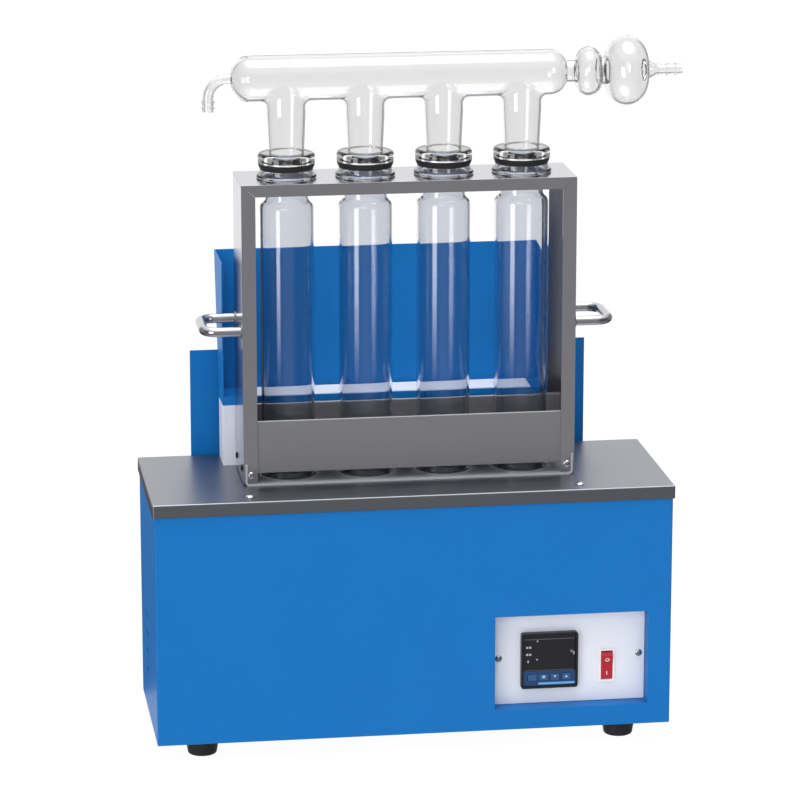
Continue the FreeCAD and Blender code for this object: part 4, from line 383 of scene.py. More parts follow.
# Red polycarbonate rocker: glossy, under a clear skin.
RED_ROCKER = SkinnedPlastic(
    "polycarbonate_red", "#B4122A", 0.25, "#A80E24", gloss_spread=0.03, relief_mm=0.002, grain=Grain(2.0)
)
NYLON_WHITE = Finish(
    "nylon_white_moulded", "#F0E4E6", 0.42, "#EADFE2", specular=0.4, relief_mm=0.004, grain=Grain(0.8)
)
# Cast and milled aluminium: pale, with fine tool marks.
ALUMINIUM_MILLED = Finish(
    "aluminium_milled", "#C2C3C6", 0.36, "#B6B7BB", metallic=1.0, gloss_spread=0.08, grain=Grain(0.8, 12.0)
)
FIBRE_BOARD = Finish(
    "ceramic_fibre_board", "#E6E1D4", 0.95, "#D9D2C2", specular=0.1, gloss_spread=0.02,
    relief_mm=0.2, grain=Grain(1.2),
)
MICA_SHEET = Finish(
    "mica_pressed", "#A8957A", 0.5, "#8F7C60", gloss_spread=0.15, relief_mm=0.02, shade=Grain(9.0)
)
PHENOLIC_IVORY = Finish(
    "phenolic_ivory", "#D6CCAE", 0.45, "#CEC3A4", specular=0.4, grain=Grain(0.8)
)
BRASS_TURNED = Finish(
    "brass_turned", "#D8B36A", 0.28, "#CBA55C", metallic=1.0, gloss_spread=0.06, relief_mm=0.004,
    grain=Grain(0.5, 8.0),
)
SILICONE_JACKET = Finish(
    "silicone_jacket", "#8F2A22", 0.55, "#83251E", specular=0.35, relief_mm=0.006, grain=Grain(0.6)
)
# Screen printing ink: thin, matt and even.
INK_PALE = Finish(
    "ink_pale", "#AEB4BE", 0.5, "#A8AEB8", specular=0.3, relief_mm=0.002, grain=Grain(0.4)
)
INK_SKY = Finish(
    "ink_sky_blue", "#5E9BD6", 0.45, "#6AA6DE", specular=0.3, relief_mm=0.002, grain=Grain(0.4)
)
INK_GREY = Finish(
    "ink_dark_grey", "#565257", 0.45, "#5C585D", specular=0.3, relief_mm=0.002, grain=Grain(0.4)
)


class Workshop:
    """Keeps the built finishes and the CAD nodes, and dresses pieces with them."""

    def __init__(self, nodes: dict[str, bpy.types.Object]) -> None:
        """Keeps the CAD nodes.

        Args:
            nodes: The CAD nodes by name.
        """
        self.nodes = nodes
        self.materials: dict[str, bpy.types.Material] = {}
        self.dressed: set[str] = set()

    def material(self, finish: Finish) -> bpy.types.Material:
        """Returns the material of a finish, and builds it the first time."""
        if finish.name not in self.materials:
            self.materials[finish.name] = finish.build()
        return self.materials[finish.name]

    def paint(self, piece: bpy.types.Object, finish: Finish) -> None:
        """Gives a piece one finish all over."""
        piece.data.materials.clear()
        piece.data.materials.append(self.material(finish))

    def dress(self, names: Iterable[str], finish: Finish, edge_mm: float = 0.0) -> None:
        """Gives CAD nodes their finish, and rounds their sharp edges where asked.

        Args:
            names: The CAD nodes.
            finish: Their finish.
            edge_mm: The width of the rounding, or 0 to leave the edges as they are.
        """
        for name in names:
            node = self.nodes[name]
            self.paint(node, finish)
            self.dressed.add(name)
            if edge_mm:
                self.soften(node, edge_mm)
        log.info("dressed %s with %s", ", ".join(names), finish.name)

    def soften(self, piece: bpy.types.Object, edge_mm: float) -> None:
        """Rounds the sharp edges of a piece by modifiers that leave its own mesh as it is.

        Args:
            piece: The object.
            edge_mm: The width of the rounding.
        """
        weld = piece.modifiers.new("join_faces", "WELD")
        weld.merge_threshold = WELD_REACH
        edge = piece.modifiers.new("rounded_edge", "BEVEL")
        edge.width = edge_mm * MM
        edge.segments = EDGE_SEGMENTS
        edge.limit_method = "ANGLE"
        edge.angle_limit = math.radians(EDGE_ANGLE_DEG)
        edge.use_clamp_overlap = True
        even = piece.modifiers.new("even_shading", "WEIGHTED_NORMAL")
        even.keep_sharp = True

    def add(
        self,
        name: str,
        mesh: bmesh.types.BMesh,
        finish: Finish,
        slot: Slot,
        body: Body | str,
        smooth_deg: float = 35.0,
    ) -> bpy.types.Object:
        """Adds a piece with its finish and lets it ride on a body.

        Args:
            name: The piece's name.
            mesh: Its faces, in the row frame, freed here.
            finish: Its finish.
            slot: The record's slot that the finish belongs to; not used.
            body: The body that it moves with.
            smooth_deg: Edges flatter than this are shaded smooth.

        Returns:
            The new object.
        """
        data = finish_mesh(name, mesh)
        piece = bpy.data.objects.new(name, data)
        bpy.context.scene.collection.objects.link(piece)
        data.shade_smooth()
        data.set_sharp_from_angle(angle=math.radians(smooth_deg))
        self.paint(piece, finish)
        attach(piece, body.value if isinstance(body, Body) else body)
        log.info("added %s on %s", name, body)
        return piece


def finish_mesh(name: str, mesh: bmesh.types.BMesh) -> bpy.types.Mesh:
    """Turns a bmesh into a mesh with outward normals.

    Args:
        name: The mesh's name.
        mesh: The bmesh, freed here.

    Returns:
        The new mesh.
    """
    bmesh.ops.remove_doubles(mesh, verts=mesh.verts, dist=SAME_POINT)
    bmesh.ops.recalc_face_normals(mesh, faces=mesh.faces)
    data = bpy.data.meshes.new(name)
    mesh.to_mesh(data)
    mesh.free()
    return data


def frame_at(centre: Vector, axis: Vector) -> Matrix:
    """Returns the placing that stands local Z on an axis at a point."""
    return Matrix.Translation(centre) @ axis.to_track_quat("Z", "Y").to_matrix().to_4x4()


def turned(
    mesh: bmesh.types.BMesh,
    outline: Sequence[Point],
    placing: Matrix,
    steps: int = 48,
    shape: Callable[[float, float, float], float] | None = None,
) -> None:
    """Turns an outline round its axis into closed rings of faces.

    Args:
        mesh: The bmesh that gets the faces.
        outline: (radius, height) pairs in millimetres, from the axis round to the axis or to a closed loop.
        placing: Where local Z and the origin lie.
        steps: Faces round the axis.
        shape: Gives the radius at a ring's (radius, height, angle), for rings that are not round.
    """
    rings: list[list[bmesh.types.BMVert]] = []
    for radius, height in outline:
        if radius == 0:
            rings.append([mesh.verts.new(placing @ Vector((0, 0, height * MM)))])
            continue
        ring = []
        for k in range(steps):
            angle = 2 * math.pi * k / steps
            r = shape(radius, height, angle) if shape else radius
            spot = Vector((r * math.cos(angle), r * math.sin(angle), height)) * MM
            ring.append(mesh.verts.new(placing @ spot))
        rings.append(ring)
    for lower, upper in zip(rings, rings[1:]):
        for k in range(steps):
            a, b = lower[k % len(lower)], lower[(k + 1) % len(lower)]
            c, d = upper[(k + 1) % len(upper)], upper[k % len(upper)]
            corners = list(dict.fromkeys((a, b, c, d)))
            if len(corners) > 2:
                mesh.faces.new(corners)
    if outline[0] == outline[-1] and len(rings[0]) > 1:
        bmesh.ops.remove_doubles(mesh, verts=rings[0] + rings[-1], dist=SAME_POINT)


def flat_print(
    mesh: bmesh.types.BMesh,
    outline: Sequence[Point],
    placing: Matrix,
    thickness_mm: float,
) -> None:
    """Adds a thin raised shape, such as a printed mark.

    Args:
        mesh: The bmesh that gets the faces.
        outline: Corner points (across, up) in millimetres, counter-clockwise.
        placing: Where the middle and the facing of the mark lie.
        thickness_mm: How far it stands proud.
    """
    low = [mesh.verts.new(placing @ Vector((u * MM, v * MM, 0))) for u, v in outline]
    high = [mesh.verts.new(placing @ Vector((u * MM, v * MM, thickness_mm * MM))) for u, v in outline]
    count = len(outline)
    mesh.faces.new(high)
    mesh.faces.new(list(reversed(low)))
    for k in range(count):
        mesh.faces.new((low[k], low[(k + 1) % count], high[(k + 1) % count], high[k]))


def facing_front(x: float, y: float, z: float) -> Matrix:
    """Returns the placing of a mark on a front face: across is right, up is up, out is to the front."""
    return Matrix.Translation(place(x, y, z)) @ FRONT_TURN


def rectangle(width: float, height: float) -> list[Point]:
    """Returns the corners of a rectangle about its middle."""
    w, h = width / 2, height / 2
    return [(-w, -h), (w, -h), (w, h), (-w, h)]


def ring_band(
    mesh: bmesh.types.BMesh, inner: float, outer: float, placing: Matrix, thickness_mm: float, steps: int = 32
) -> None:
    """Adds a flat printed ring.

    Args:
        mesh: The bmesh that gets the faces.
        inner: Inner radius in millimetres.
        outer: Outer radius in millimetres.
        placing: Where the ring lies.
        thickness_mm: How far it stands proud.
        steps: Faces round the ring.
    """
    outline = [(inner, 0.0), (outer, 0.0), (outer, thickness_mm), (inner, thickness_mm), (inner, 0.0)]
    turned(mesh, outline, placing, steps)


@dataclass
class ScrewHead:
    """A pan head with a cross recess, laid over a CAD screw's head, in millimetres and radians."""

    head_radius: float = 3.0
    head_height: float = 1.8
    rim_share: float = 0.22
    dome_rings: int = 6
    least_ring_rise: float = 0.05
    cross_reach: float = 1.7
    cross_half_angle: float = 0.24
    cross_depth: float = 1.1
    cross_clearance: float = 0.01
    cross_rings: tuple[Point, ...] = ((0.86, 0.55), (0.5, 1.0), (0.0, 1.0))
    web_share: float = 0.8
    least_web: float = 0.3
    steps: int = 48

    def cross(self, radius: float, height: float, angle: float) -> float:
        """Pulls the recess's rings into a cross.

        Args:
            radius: The ring's own radius.
            height: The ring's height, which the cross doesn't depend on.
            angle: The angle round the head.

        Returns:
            The radius at that angle.
        """
        if radius > self.cross_reach + self.cross_clearance:
            return radius
        quarter = math.pi / 2
        off = abs((angle + quarter / 2) % quarter - quarter / 2)
        if off < self.cross_half_angle:
            return radius
        return radius * max(self.least_web, self.cross_half_angle / off * self.web_share)

    def outline(self) -> list[Point]:
        """Returns the head's outline from its seat over the dome down into the recess."""
        rim = self.head_height * self.rim_share
        sphere = (self.head_radius**2 + self.head_height**2) / (2 * self.head_height)
        points = [(0.0, 0.0), (self.head_radius, 0.0), (self.head_radius, rim)]
        for k in range(1, self.dome_rings + 1):
            radius = self.head_radius - (self.head_radius - self.cross_reach) * k / self.dome_rings
            top = self.head_height - sphere + math.sqrt(sphere**2 - radius**2)
            points.append((radius, max(top, rim + self.least_ring_rise * k)))
        edge = points[-1][1]
        for reach, depth in self.cross_rings:
            points.append((self.cross_reach * reach, edge - self.cross_depth * depth))
        return points

    def add_to(self, mesh: bmesh.types.BMesh, centre: Vector, axis: Axis, turn: float) -> None:
        """Adds one head.

        Args:
            mesh: The bmesh that gets the head.
            centre: The middle of its seat, in metres.
            axis: The way it faces.
            turn: How far the cross is turned, in radians.
        """
        placing = frame_at(centre, Vector(axis.value)) @ Matrix.Rotation(turn, 4, "Z")
        turned(mesh, self.outline(), placing, self.steps, self.cross)


@dataclass
class WeldBead:
    """A ripple-topped weld bead round the end of a handle's rod, in millimetres."""

    rod_radius: float = 4.0
    throat: float = 1.1
    spread: float = 1.6
    flatness: float = 0.9
    arc_steps: int = 8
    first_step: int = 2
    grip: float = 0.3
    sink: float = 0.1
    collar: float = 1.0
    toe: float = 1.7
    ripple_height: float = 0.08
    ripples: int = 14
    ripple_from: float = 0.4
    steps: int = 56

    def outline(self) -> list[Point]:
        """Returns the closed outline from inside the rod over the crest to the toe and back."""
        inside = self.rod_radius - self.grip
        crest = []
        for k in range(self.first_step, self.arc_steps + 1):
            angle = math.pi * k / self.arc_steps
            radius = self.rod_radius + self.throat * (1 - math.cos(angle)) / 2 * self.spread
            crest.append((radius, self.throat * math.sin(angle) * self.flatness))
        foot = [(self.rod_radius + self.toe, -self.sink), (inside, -self.sink)]
        return [(inside, -self.sink), (inside, self.collar), *crest, *foot]

    def ripple(self, radius: float, height: float, angle: float) -> float:
        """Lays the ripples over the crest.

        Args:
            radius: The ring's own radius.
            height: The ring's height.
            angle: The angle round the rod.

        Returns:
            The radius at that angle.
        """
        if height <= self.ripple_from:
            return radius
        return radius + self.ripple_height * math.sin(self.ripples * angle)

    def add_to(self, mesh: bmesh.types.BMesh, placing: Matrix) -> None:
        """Adds one bead where the placing stands."""
        turned(mesh, self.outline(), placing, self.steps, self.ripple)


@dataclass
class Housing:
    """Blue sheet housing, stainless top, rear fittings, feet, and the heating block and wiring inside."""

    sheet_edge_mm: float = 0.45
    plate_edge_mm: float = 0.5
    plated_edge_mm: float = 0.25
    strip_edge_mm: float = 0.2
    moulded_edge_mm: float = 0.4
    terminal_edge_mm: float = 0.3

    def build(self, shop: Workshop) -> None:
        """Dresses the housing.

        Args:
            shop: The workshop that holds the nodes and finishes.
        """
        blue = ["body_shell", "rear_panel", "control_recess", "heat_shield", "rear_guard"]
        shop.dress(blue, COAT_BLUE, self.sheet_edge_mm)
        shop.dress(["bottom_plate", "block_tray", "heater_clamp"], STEEL_ZINC, self.plated_edge_mm)
        shop.dress(["top_plate"], STEEL_BRUSHED, self.plate_edge_mm)
        # The shield support's near-white colour is a painted reflection, not the steel's own colour.
        shop.dress(["shield_support"], STEEL_SUPPORT_PAINTED_REFLECTION, self.plate_edge_mm)
        # The drip strip's near-white colour is a painted reflection of the white backdrop.
        shop.dress(["shield_strip"], STEEL_STRIP_PAINTED_REFLECTION, self.strip_edge_mm)
        shop.dress(["feet", "fuse_holder"], RUBBER_MOULDED, self.moulded_edge_mm)
        shop.dress(["foot_screws", "well_collars", "rocker_pin", "temperature_probe"], STEEL_SCREW)
        shop.dress(["inlet_socket", "controller_case", "relay"], ABS_BLACK, self.moulded_edge_mm)
        shop.dress(["heating_block", "relay_heat_sink"], ALUMINIUM_MILLED, self.plate_edge_mm)
        shop.dress(["block_insulation"], FIBRE_BOARD)
        shop.dress(["heater_plate"], MICA_SHEET)
        shop.dress(["heater_screws"], STEEL_ZINC)
        shop.dress(["terminal_block"], PHENOLIC_IVORY, self.terminal_edge_mm)
        shop.dress(["earth_stud"], BRASS_TURNED)
        shop.dress(["mains_leads", "heater_leads", "control_leads"], SILICONE_JACKET)


@dataclass(frozen=True)
class Mark:
    """A flat printed mark: its outline about its own middle, and where that middle stands, in millimetres."""

    outline: Sequence[Point]
    x: float
    z: float


LAMP_OUTLINE = [(-0.9, 0.8), (0.0, -0.9), (0.9, 0.8)]
WINDOW_LINES = [Mark(rectangle(42.4, 0.7), 114.0, z) for z in (89.4, 62.2)]
WINDOW_MARKS = [
    *(Mark(rectangle(1.9, 1.7), x, z) for z in (82.5, 76.3) for x in (95.3, 97.9)),
    Mark(rectangle(1.1, 2.2), 96.2, 70.2),
    Mark(LAMP_OUTLINE, 104.0, 87.6),
    Mark(LAMP_OUTLINE, 103.8, 71.6),
    Mark(rectangle(1.2, 2.6), 134.9, 76.6),
]
BAND_STRIPE = Mark(rectangle(30.8, 1.9), 120.2, 51.2)
KEY_SYMBOLS = {
    2: rectangle(2.4, 2.2),
    3: [(-1.4, 1.0), (0.0, -1.1), (1.4, 1.0)],
    4: [(-1.4, -1.0), (1.4, -1.0), (0.0, 1.1)],
}


@dataclass
class ControlPanel:
    """White panel with the temperature controller and the mains rocker, in millimetres."""

    panel_edge_mm: float = 0.3
    bezel_edge_mm: float = 0.5
    band_edge_mm: float = 0.2
    key_edge_mm: float = 0.35
    rocker_edge_mm: float = 0.5
    ink_mm: float = 0.06
    window_y: float = 11.5
    band_y: float = 9.9
    degree_at: Point = (133.0, 78.2)
    degree_radii: Point = (0.55, 1.0)
    key_count: int = 4
    keys_middle_x: float = 114.0
    key_pitch: float = 9.6
    key_y: float = 9.4
    symbol_z: float = 57.1
    rocker_x: float = 163.5
    rocker_z: float = 63.8
    rocker_pivot_y: float = 17.4
    rocker_tilt_deg: float = 9.0
    rocker_valley: float = 4.4
    rocker_horn: float = 6.4
    rocker_reach: float = 12.2
    off_radii: Point = (1.15, 1.75)
    on_bar: Point = (0.7, 3.4)

    def build(self, shop: Workshop) -> None:
        """Dresses the panel and adds its printed marks.

        Args:
            shop: The workshop that holds the nodes and finishes.
        """
        shop.dress(["control_panel"], COAT_WHITE, self.panel_edge_mm)
        shop.dress(["controller_bezel"], ABS_BLACK, self.bezel_edge_mm)
        shop.dress(["display_window"], ACRYLIC_SMOKED)
        shop.dress(["key_band"], FOIL_BLUE, self.band_edge_mm)
        keys = [f"controller_key_{i}" for i in range(1, self.key_count + 1)]
        shop.dress(keys, FOIL_KEY, self.key_edge_mm)
        shop.dress(["switch_housing"], NYLON_WHITE, self.panel_edge_mm)
        shop.dress(["power_rocker"], RED_ROCKER, self.rocker_edge_mm)
        lines = self.printed(WINDOW_LINES, self.window_y)
        shop.add("window_lines", lines, INK_GREY, Slot.WINDOW, Body.BASE)
        self.window_marks(shop)
        stripe = self.printed([BAND_STRIPE], self.band_y)
        shop.add("band_stripe", stripe, INK_SKY, Slot.KEYPAD, Body.BASE)
        self.key_symbols(shop)
        self.rocker_marks(shop)

    def printed(self, marks: Iterable[Mark], y: float) -> bmesh.types.BMesh:
        """Returns flat marks on the front face at y."""
        mesh = bmesh.new()
        for mark in marks:
            flat_print(mesh, mark.outline, facing_front(mark.x, y, mark.z), self.ink_mm)
        return mesh

    def window_marks(self, shop: Workshop) -> None:
        """Adds the small legend marks of the display: plain bars, two lamps and a degree ring."""
        mesh = self.printed(WINDOW_MARKS, self.window_y)
        x, z = self.degree_at
        ring_band(mesh, *self.degree_radii, facing_front(x, self.window_y, z), self.ink_mm)
        shop.add("window_marks", mesh, INK_PALE, Slot.WINDOW, Body.BASE)

    def key_symbols(self, shop: Workshop) -> None:
        """Adds the printed symbols of the three right-hand keys."""
        first_x = self.keys_middle_x - self.key_pitch * (self.key_count + 1) / 2
        for index, outline in KEY_SYMBOLS.items():
            mark = Mark(outline, first_x + self.key_pitch * index, self.symbol_z)
            mesh = self.printed([mark], self.key_y)
            shop.add(f"key_symbol_{index}", mesh, INK_PALE, Slot.KEY, f"key_{index}")

    def rocker_marks(self, shop: Workshop) -> None:
        """Adds the ring of the off side and the bar of the on side to the rocker."""
        pivot = Matrix.Translation(place(self.rocker_x, self.rocker_pivot_y, self.rocker_z))
        tilt = pivot @ Matrix.Rotation(math.radians(self.rocker_tilt_deg), 4, "X")
        lean = math.atan2(self.rocker_horn - self.rocker_valley, self.rocker_reach)
        depth = (self.rocker_valley + self.rocker_horn) / 2
        mesh = bmesh.new()
        for side in (1, -1):
            middle = Vector((0, -depth * MM, side * self.rocker_reach / 2 * MM))
            local = Matrix.Translation(middle) @ Matrix.Rotation(side * lean, 4, "X") @ FRONT_TURN
            if side > 0:
                ring_band(mesh, *self.off_radii, tilt @ local, self.ink_mm)
            else:
                flat_print(mesh, rectangle(*self.on_bar), tilt @ local, self.ink_mm)
        shop.add("rocker_marks", mesh, NYLON_WHITE, Slot.SWITCH, Body.ROCKER)


# The outer faces of the rack's sides: their x and the way they face.
RACK_SIDES = ((-136.6, Axis.LEFT), (140.4, Axis.RIGHT))


@dataclass
class Rack:
    """Stainless rack that lifts off with the tubes."""

    edge_mm: float = 0.35
    tray_edge_mm: float = 0.6
    handle_ys: Point = (54.5, 106.5)
    handle_z: float = 350.9
    weld_smooth_deg: float = 80.0

    def build(self, shop: Workshop) -> None:
        """Dresses the rack and adds the weld beads of its handles.

        Args:
            shop: The workshop that holds the nodes and finishes.
        """
        shop.dress(["rack_side_left", "rack_side_right", "rack_top"], STEEL_POLISHED, self.edge_mm)
        shop.dress(["rack_shelf"], STEEL_DULL, self.edge_mm)
        shop.dress(["rack_base_tray"], STEEL_MATT, self.tray_edge_mm)
        shop.dress(["rack_handle_left", "rack_handle_right"], STEEL_POLISHED)
        bead = WeldBead()
        mesh = bmesh.new()
        for x, axis in RACK_SIDES:
            for y in self.handle_ys:
                bead.add_to(mesh, frame_at(place(x, y, self.handle_z), Vector(axis.value)))
        shop.add("handle_welds", mesh, STEEL_BRUSHED, Slot.BRUSHED, Body.RACK, self.weld_smooth_deg)


@dataclass
class Glassware:
    """Four digestion tubes under one blown fume manifold, with rubber rings between."""

    tubes: int = 4
    air_film_mm: float = 0.1

    def build(self, shop: Workshop) -> None:
        """Dresses the glass and the seals.

        Args:
            shop: The workshop that holds the nodes and finishes.
        """
        tubes = [f"digestion_tube_{i}" for i in range(1, self.tubes + 1)]
        shop.dress(tubes, GLASS_DRAWN)
        shop.dress(["fume_manifold"], GLASS_BLOWN)
        shop.dress(["seal_rings"], RUBBER_MOULDED)
        for name in (*tubes, "fume_manifold"):
            shop.nodes[name].visible_shadow = False
        self.part_seals(shop.nodes["seal_rings"])

    def part_seals(self, rings: bpy.types.Object) -> None:
        """Draws the rings in by a film of air, so that the glass on them mirrors the room."""
        film = rings.modifiers.new("air_film", "DISPLACE")
        film.direction = "NORMAL"
        film.mid_level = 0.0
        film.strength = -self.air_film_mm * MM


@dataclass
class Fasteners:
    """Every screw head in view, with seats in millimetres and turns in radians."""

    small: ScrewHead = field(default_factory=ScrewHead)
    large: ScrewHead = field(default_factory=lambda: ScrewHead(3.8, 2.4, cross_reach=2.2, cross_depth=1.5))
    plate_z: float = 221.5
    post_xs: Point = (-130.6, 134.4)
    post_faces: tuple[tuple[float, Axis], ...] = ((48.0, Axis.FRONT), (113.0, Axis.REAR))
    post_rise: float = 9.0
    side_ys: Point = (60.0, 101.0)
    side_rise: float = 12.6
    tray_middle_x: float = 1.9
    tray_rows: tuple[Point, ...] = ((137.0, 14.5), (110.0, 139.6))
    panel_middle_x: float = 131.0
    panel_y: float = 14.0
    panel_z: float = 73.4
    panel_half_pitch: float = 59.5
    rear_x: float = 208.0
    rear_y: float = 152.0
    rear_zs: tuple[float, float, float] = (30.7, 113.5, 196.3)
    guard_x: float = 150.0
    guard_y: float = 153.2
    guard_drop: float = 33.0
    inlet: tuple[float, float, float] = (150.0, 155.0, 58.0)
    inlet_half_pitch: float = 20.0
    first_turn: float = 0.35
    next_turn: float = 0.8

    def build(self, shop: Workshop) -> None:
        """Replaces the plain domes of the CAD screws with recessed heads.

        Args:
            shop: The workshop that holds the nodes and finishes.
        """
        panel = self.pair(self.panel_middle_x, self.panel_half_pitch, self.panel_y, self.panel_z, Axis.FRONT)
        post_z = self.plate_z + self.post_rise
        posts = [(place(x, y, post_z), axis) for x in self.post_xs for y, axis in self.post_faces]
        side_z = self.plate_z + self.side_rise
        sides = [(place(x, y, side_z), axis) for x, axis in RACK_SIDES for y in self.side_ys]
        front_row, rear_row = (
            self.pair(self.tray_middle_x, half, y, self.plate_z, Axis.UP) for half, y in self.tray_rows
        )
        rear_xs = (-self.rear_x, self.rear_x)
        rear = [(place(x, self.rear_y, z), Axis.REAR) for x in rear_xs for z in self.rear_zs]
        guard = self.pair(0.0, self.guard_x, self.guard_y, self.plate_z - self.guard_drop, Axis.REAR)
        x, y, z = self.inlet
        inlet = self.pair(x, self.inlet_half_pitch, y, z, Axis.REAR)
        self.heads(shop, "panel_screw_heads", Body.BASE, self.small, panel, "panel_screws")
        self.heads(shop, "rack_screw_heads", Body.RACK, self.small, posts, "rack_screws")
        # The side heads carry a painted dark reflection in their near-black colour.
        self.heads(shop, "side_screw_heads", Body.RACK, self.small, sides, finish=STEEL_SCREW_PAINTED_DARK)
        self.heads(shop, "tray_screw_heads", Body.BASE, self.large, front_row + rear_row, "tray_screws")
        self.heads(shop, "rear_screw_heads", Body.BASE, self.small, rear, "rear_panel_screws")
        self.heads(shop, "guard_screw_heads", Body.BASE, self.small, guard, "guard_screws")
        self.heads(shop, "inlet_screw_heads", Body.BASE, self.small, inlet, "inlet_screws")

    def pair(self, middle_x: float, half: float, y: float, z: float, axis: Axis) -> list[tuple[Vector, Axis]]:
        """Returns two seats on a level, half to the left and half to the right of the middle."""
        return [(place(middle_x + side * half, y, z), axis) for side in (-1, 1)]

    def heads(
        self,
        shop: Workshop,
        name: str,
        body: Body,
        head: ScrewHead,
        spots: list[tuple[Vector, Axis]],
        node: str = "",
        finish: Finish = STEEL_SCREW,
    ) -> None:
        """Adds a group of heads, and takes the CAD screws out of view.

        Args:
            shop: The workshop that holds the nodes and finishes.
            name: The group's name.
            body: The body that it moves with.
            head: The kind of head.
            spots: The middle of each seat and the way it faces.
            node: The CAD screws that the heads stand for, if no other group does.
            finish: Their finish.
        """
        mesh = bmesh.new()
        for k, (centre, axis) in enumerate(spots):
            head.add_to(mesh, centre, axis, self.first_turn + self.next_turn * k)
        piece = shop.add(name, mesh, finish, Slot.SCREW, body)
        if node:
            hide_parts(node)
            shop.dressed.add(node)


def sheet(x: Point, y: Point, z: float) -> bmesh.types.BMesh:
    """Returns one level face over a span of x and a span of y, in metres."""
    mesh = bmesh.new()
    corners = ((x[0], y[0]), (x[1], y[0]), (x[1], y[1]), (x[0], y[1]))
    mesh.faces.new([mesh.verts.new((u, v, z)) for u, v in corners])
    return mesh


@dataclass
class Studio:
    """Camera, floor, bench and sun, placed in metres."""

    lens_mm: float = 172.08
    sensor_mm: float = 36.0
    camera_at: tuple[float, float, float] = (-0.4554, -3.0693, 1.0615)
    pitch_deg: float = -14.14
    yaw_deg: float = -8.27
    sight: float = 100.0
    floor_half: float = 30.0
    floor_shade: str = "#3C3C3C"
    floor_roughness: float = 0.9
    floor_glow: float = 0.97
    bench_x: Point = (-1.0, 1.0)
    bench_y: Point = (0.1, 0.95)
    bench_z: float = 0.0005
    bench_level: float = 0.08
    sun_aim: tuple[float, float, float] = (0.3, 0.85, -0.36)
    sun_energy: float = 0.75
    sun_spread_deg: float = 30.0

    def build(self) -> None:
        """Sets up the view, the floor and the light."""
        scene = bpy.context.scene
        scene.view_settings.view_transform = "Standard"
        scene.view_settings.look = "None"
        self.camera(scene)
        self.floor()
        self.bench()
        Surroundings().build(scene)
        self.sun(scene)

    def camera(self, scene: bpy.types.Scene) -> None:
        """Adds the camera at the photograph's angle."""
        data = bpy.data.cameras.new("studio_camera")
        data.lens = self.lens_mm
        data.sensor_width = self.sensor_mm
        data.clip_end = self.sight
        camera = bpy.data.objects.new("studio_camera", data)
        camera.location = self.camera_at
        turn = (math.radians(90 + self.pitch_deg), 0.0, math.radians(self.yaw_deg))
        camera.rotation_euler = Euler(turn, "XYZ")
        scene.collection.objects.link(camera)
        scene.camera = camera

    def floor(self) -> None:
        """Adds the lit white floor, on which no shadow shows."""
        span = (-self.floor_half, self.floor_half)
        floor, tree = self.stage_piece("studio_floor", sheet(span, span, 0.0), "paper_white")
        paper = add_node(
            tree,
            "ShaderNodeBsdfPrincipled",
            inputs={
                "Base Color": hex_linear(self.floor_shade),
                "Roughness": self.floor_roughness,
                "Specular IOR Level": 0.0,
                "Emission Color": WHITE_LIGHT,
                "Emission Strength": self.floor_glow,
            },
        )
        add_node(tree, "ShaderNodeOutputMaterial", inputs={"Surface": paper.outputs["BSDF"]})
        floor.visible_glossy = False
        floor.visible_transmission = False

    def bench(self) -> None:
        """Adds the grey bench behind the object, which only gloss shows: low side faces mirror it."""
        mesh = sheet(self.bench_x, self.bench_y, self.bench_z)
        bench, tree = self.stage_piece("studio_bench", mesh, "bench_grey")
        light = {"Color": WHITE_LIGHT, "Strength": self.bench_level}
        glow = add_node(tree, "ShaderNodeEmission", inputs=light)
        add_node(tree, "ShaderNodeOutputMaterial", inputs={"Surface": glow.outputs["Emission"]})
        bench.visible_camera = False
        bench.visible_diffuse = False
        bench.visible_transmission = False
        bench.visible_shadow = False

    def stage_piece(
        self, name: str, mesh: bmesh.types.BMesh, surface: str
    ) -> tuple[bpy.types.Object, Tree]:
        """Adds a piece of the studio with an empty material.

        Args:
            name: The piece's name.
            mesh: Its faces, freed here.
            surface: The name of its material.

        Returns:
            The object and its material's node tree.
        """
        data = finish_mesh(name, mesh)
        piece = bpy.data.objects.new(name, data)
        bpy.context.scene.collection.objects.link(piece)
        material = bpy.data.materials.new(surface)
        material.use_nodes = True
        material.node_tree.nodes.clear()
        data.materials.append(material)
        return piece, material.node_tree

    def sun(self, scene: bpy.types.Scene) -> None:
        """Adds a low, broad sun from the front left, which gloss doesn't show."""
        data = bpy.data.lights.new("low_sun", "SUN")
        data.energy = self.sun_energy
        data.angle = math.radians(self.sun_spread_deg)
        lamp = bpy.data.objects.new("low_sun", data)
        lamp.rotation_euler = Vector(self.sun_aim).to_track_quat("-Z", "Y").to_euler()
        lamp.visible_camera = False
        lamp.visible_glossy = False
        scene.collection.objects.link(lamp)


def arithmetic(tree: Tree, operation: str, first: Any, second: Any = 0.0) -> Socket:
    """Adds one step of arithmetic.

    Args:
        tree: The world's node tree.
        operation: Blender's name for the step.
        first: A number or an output socket.
        second: A number or an output socket, for steps that take two.

    Returns:
        The socket that carries the result.
    """
    node = add_node(tree, "ShaderNodeMath", {"operation": operation}, {0: first, 1: second})
    return node.outputs["Value"]


def blended(tree: Tree, share: Socket, low: Any, high: Any) -> Socket:
    """Adds a blend of two levels.

    Args:
        tree: The world's node tree.
        share: The share of the second level, from 0 to 1.
        low: The level at share 0, a number or an output socket.
        high: The level at share 1, a number or an output socket.

    Returns:
        The socket that carries the blend.
    """
    node = add_node(tree, "ShaderNodeMix", {"data_type": "FLOAT"}, {"Factor": share, 2: low, 3: high})
    return node.outputs[0]


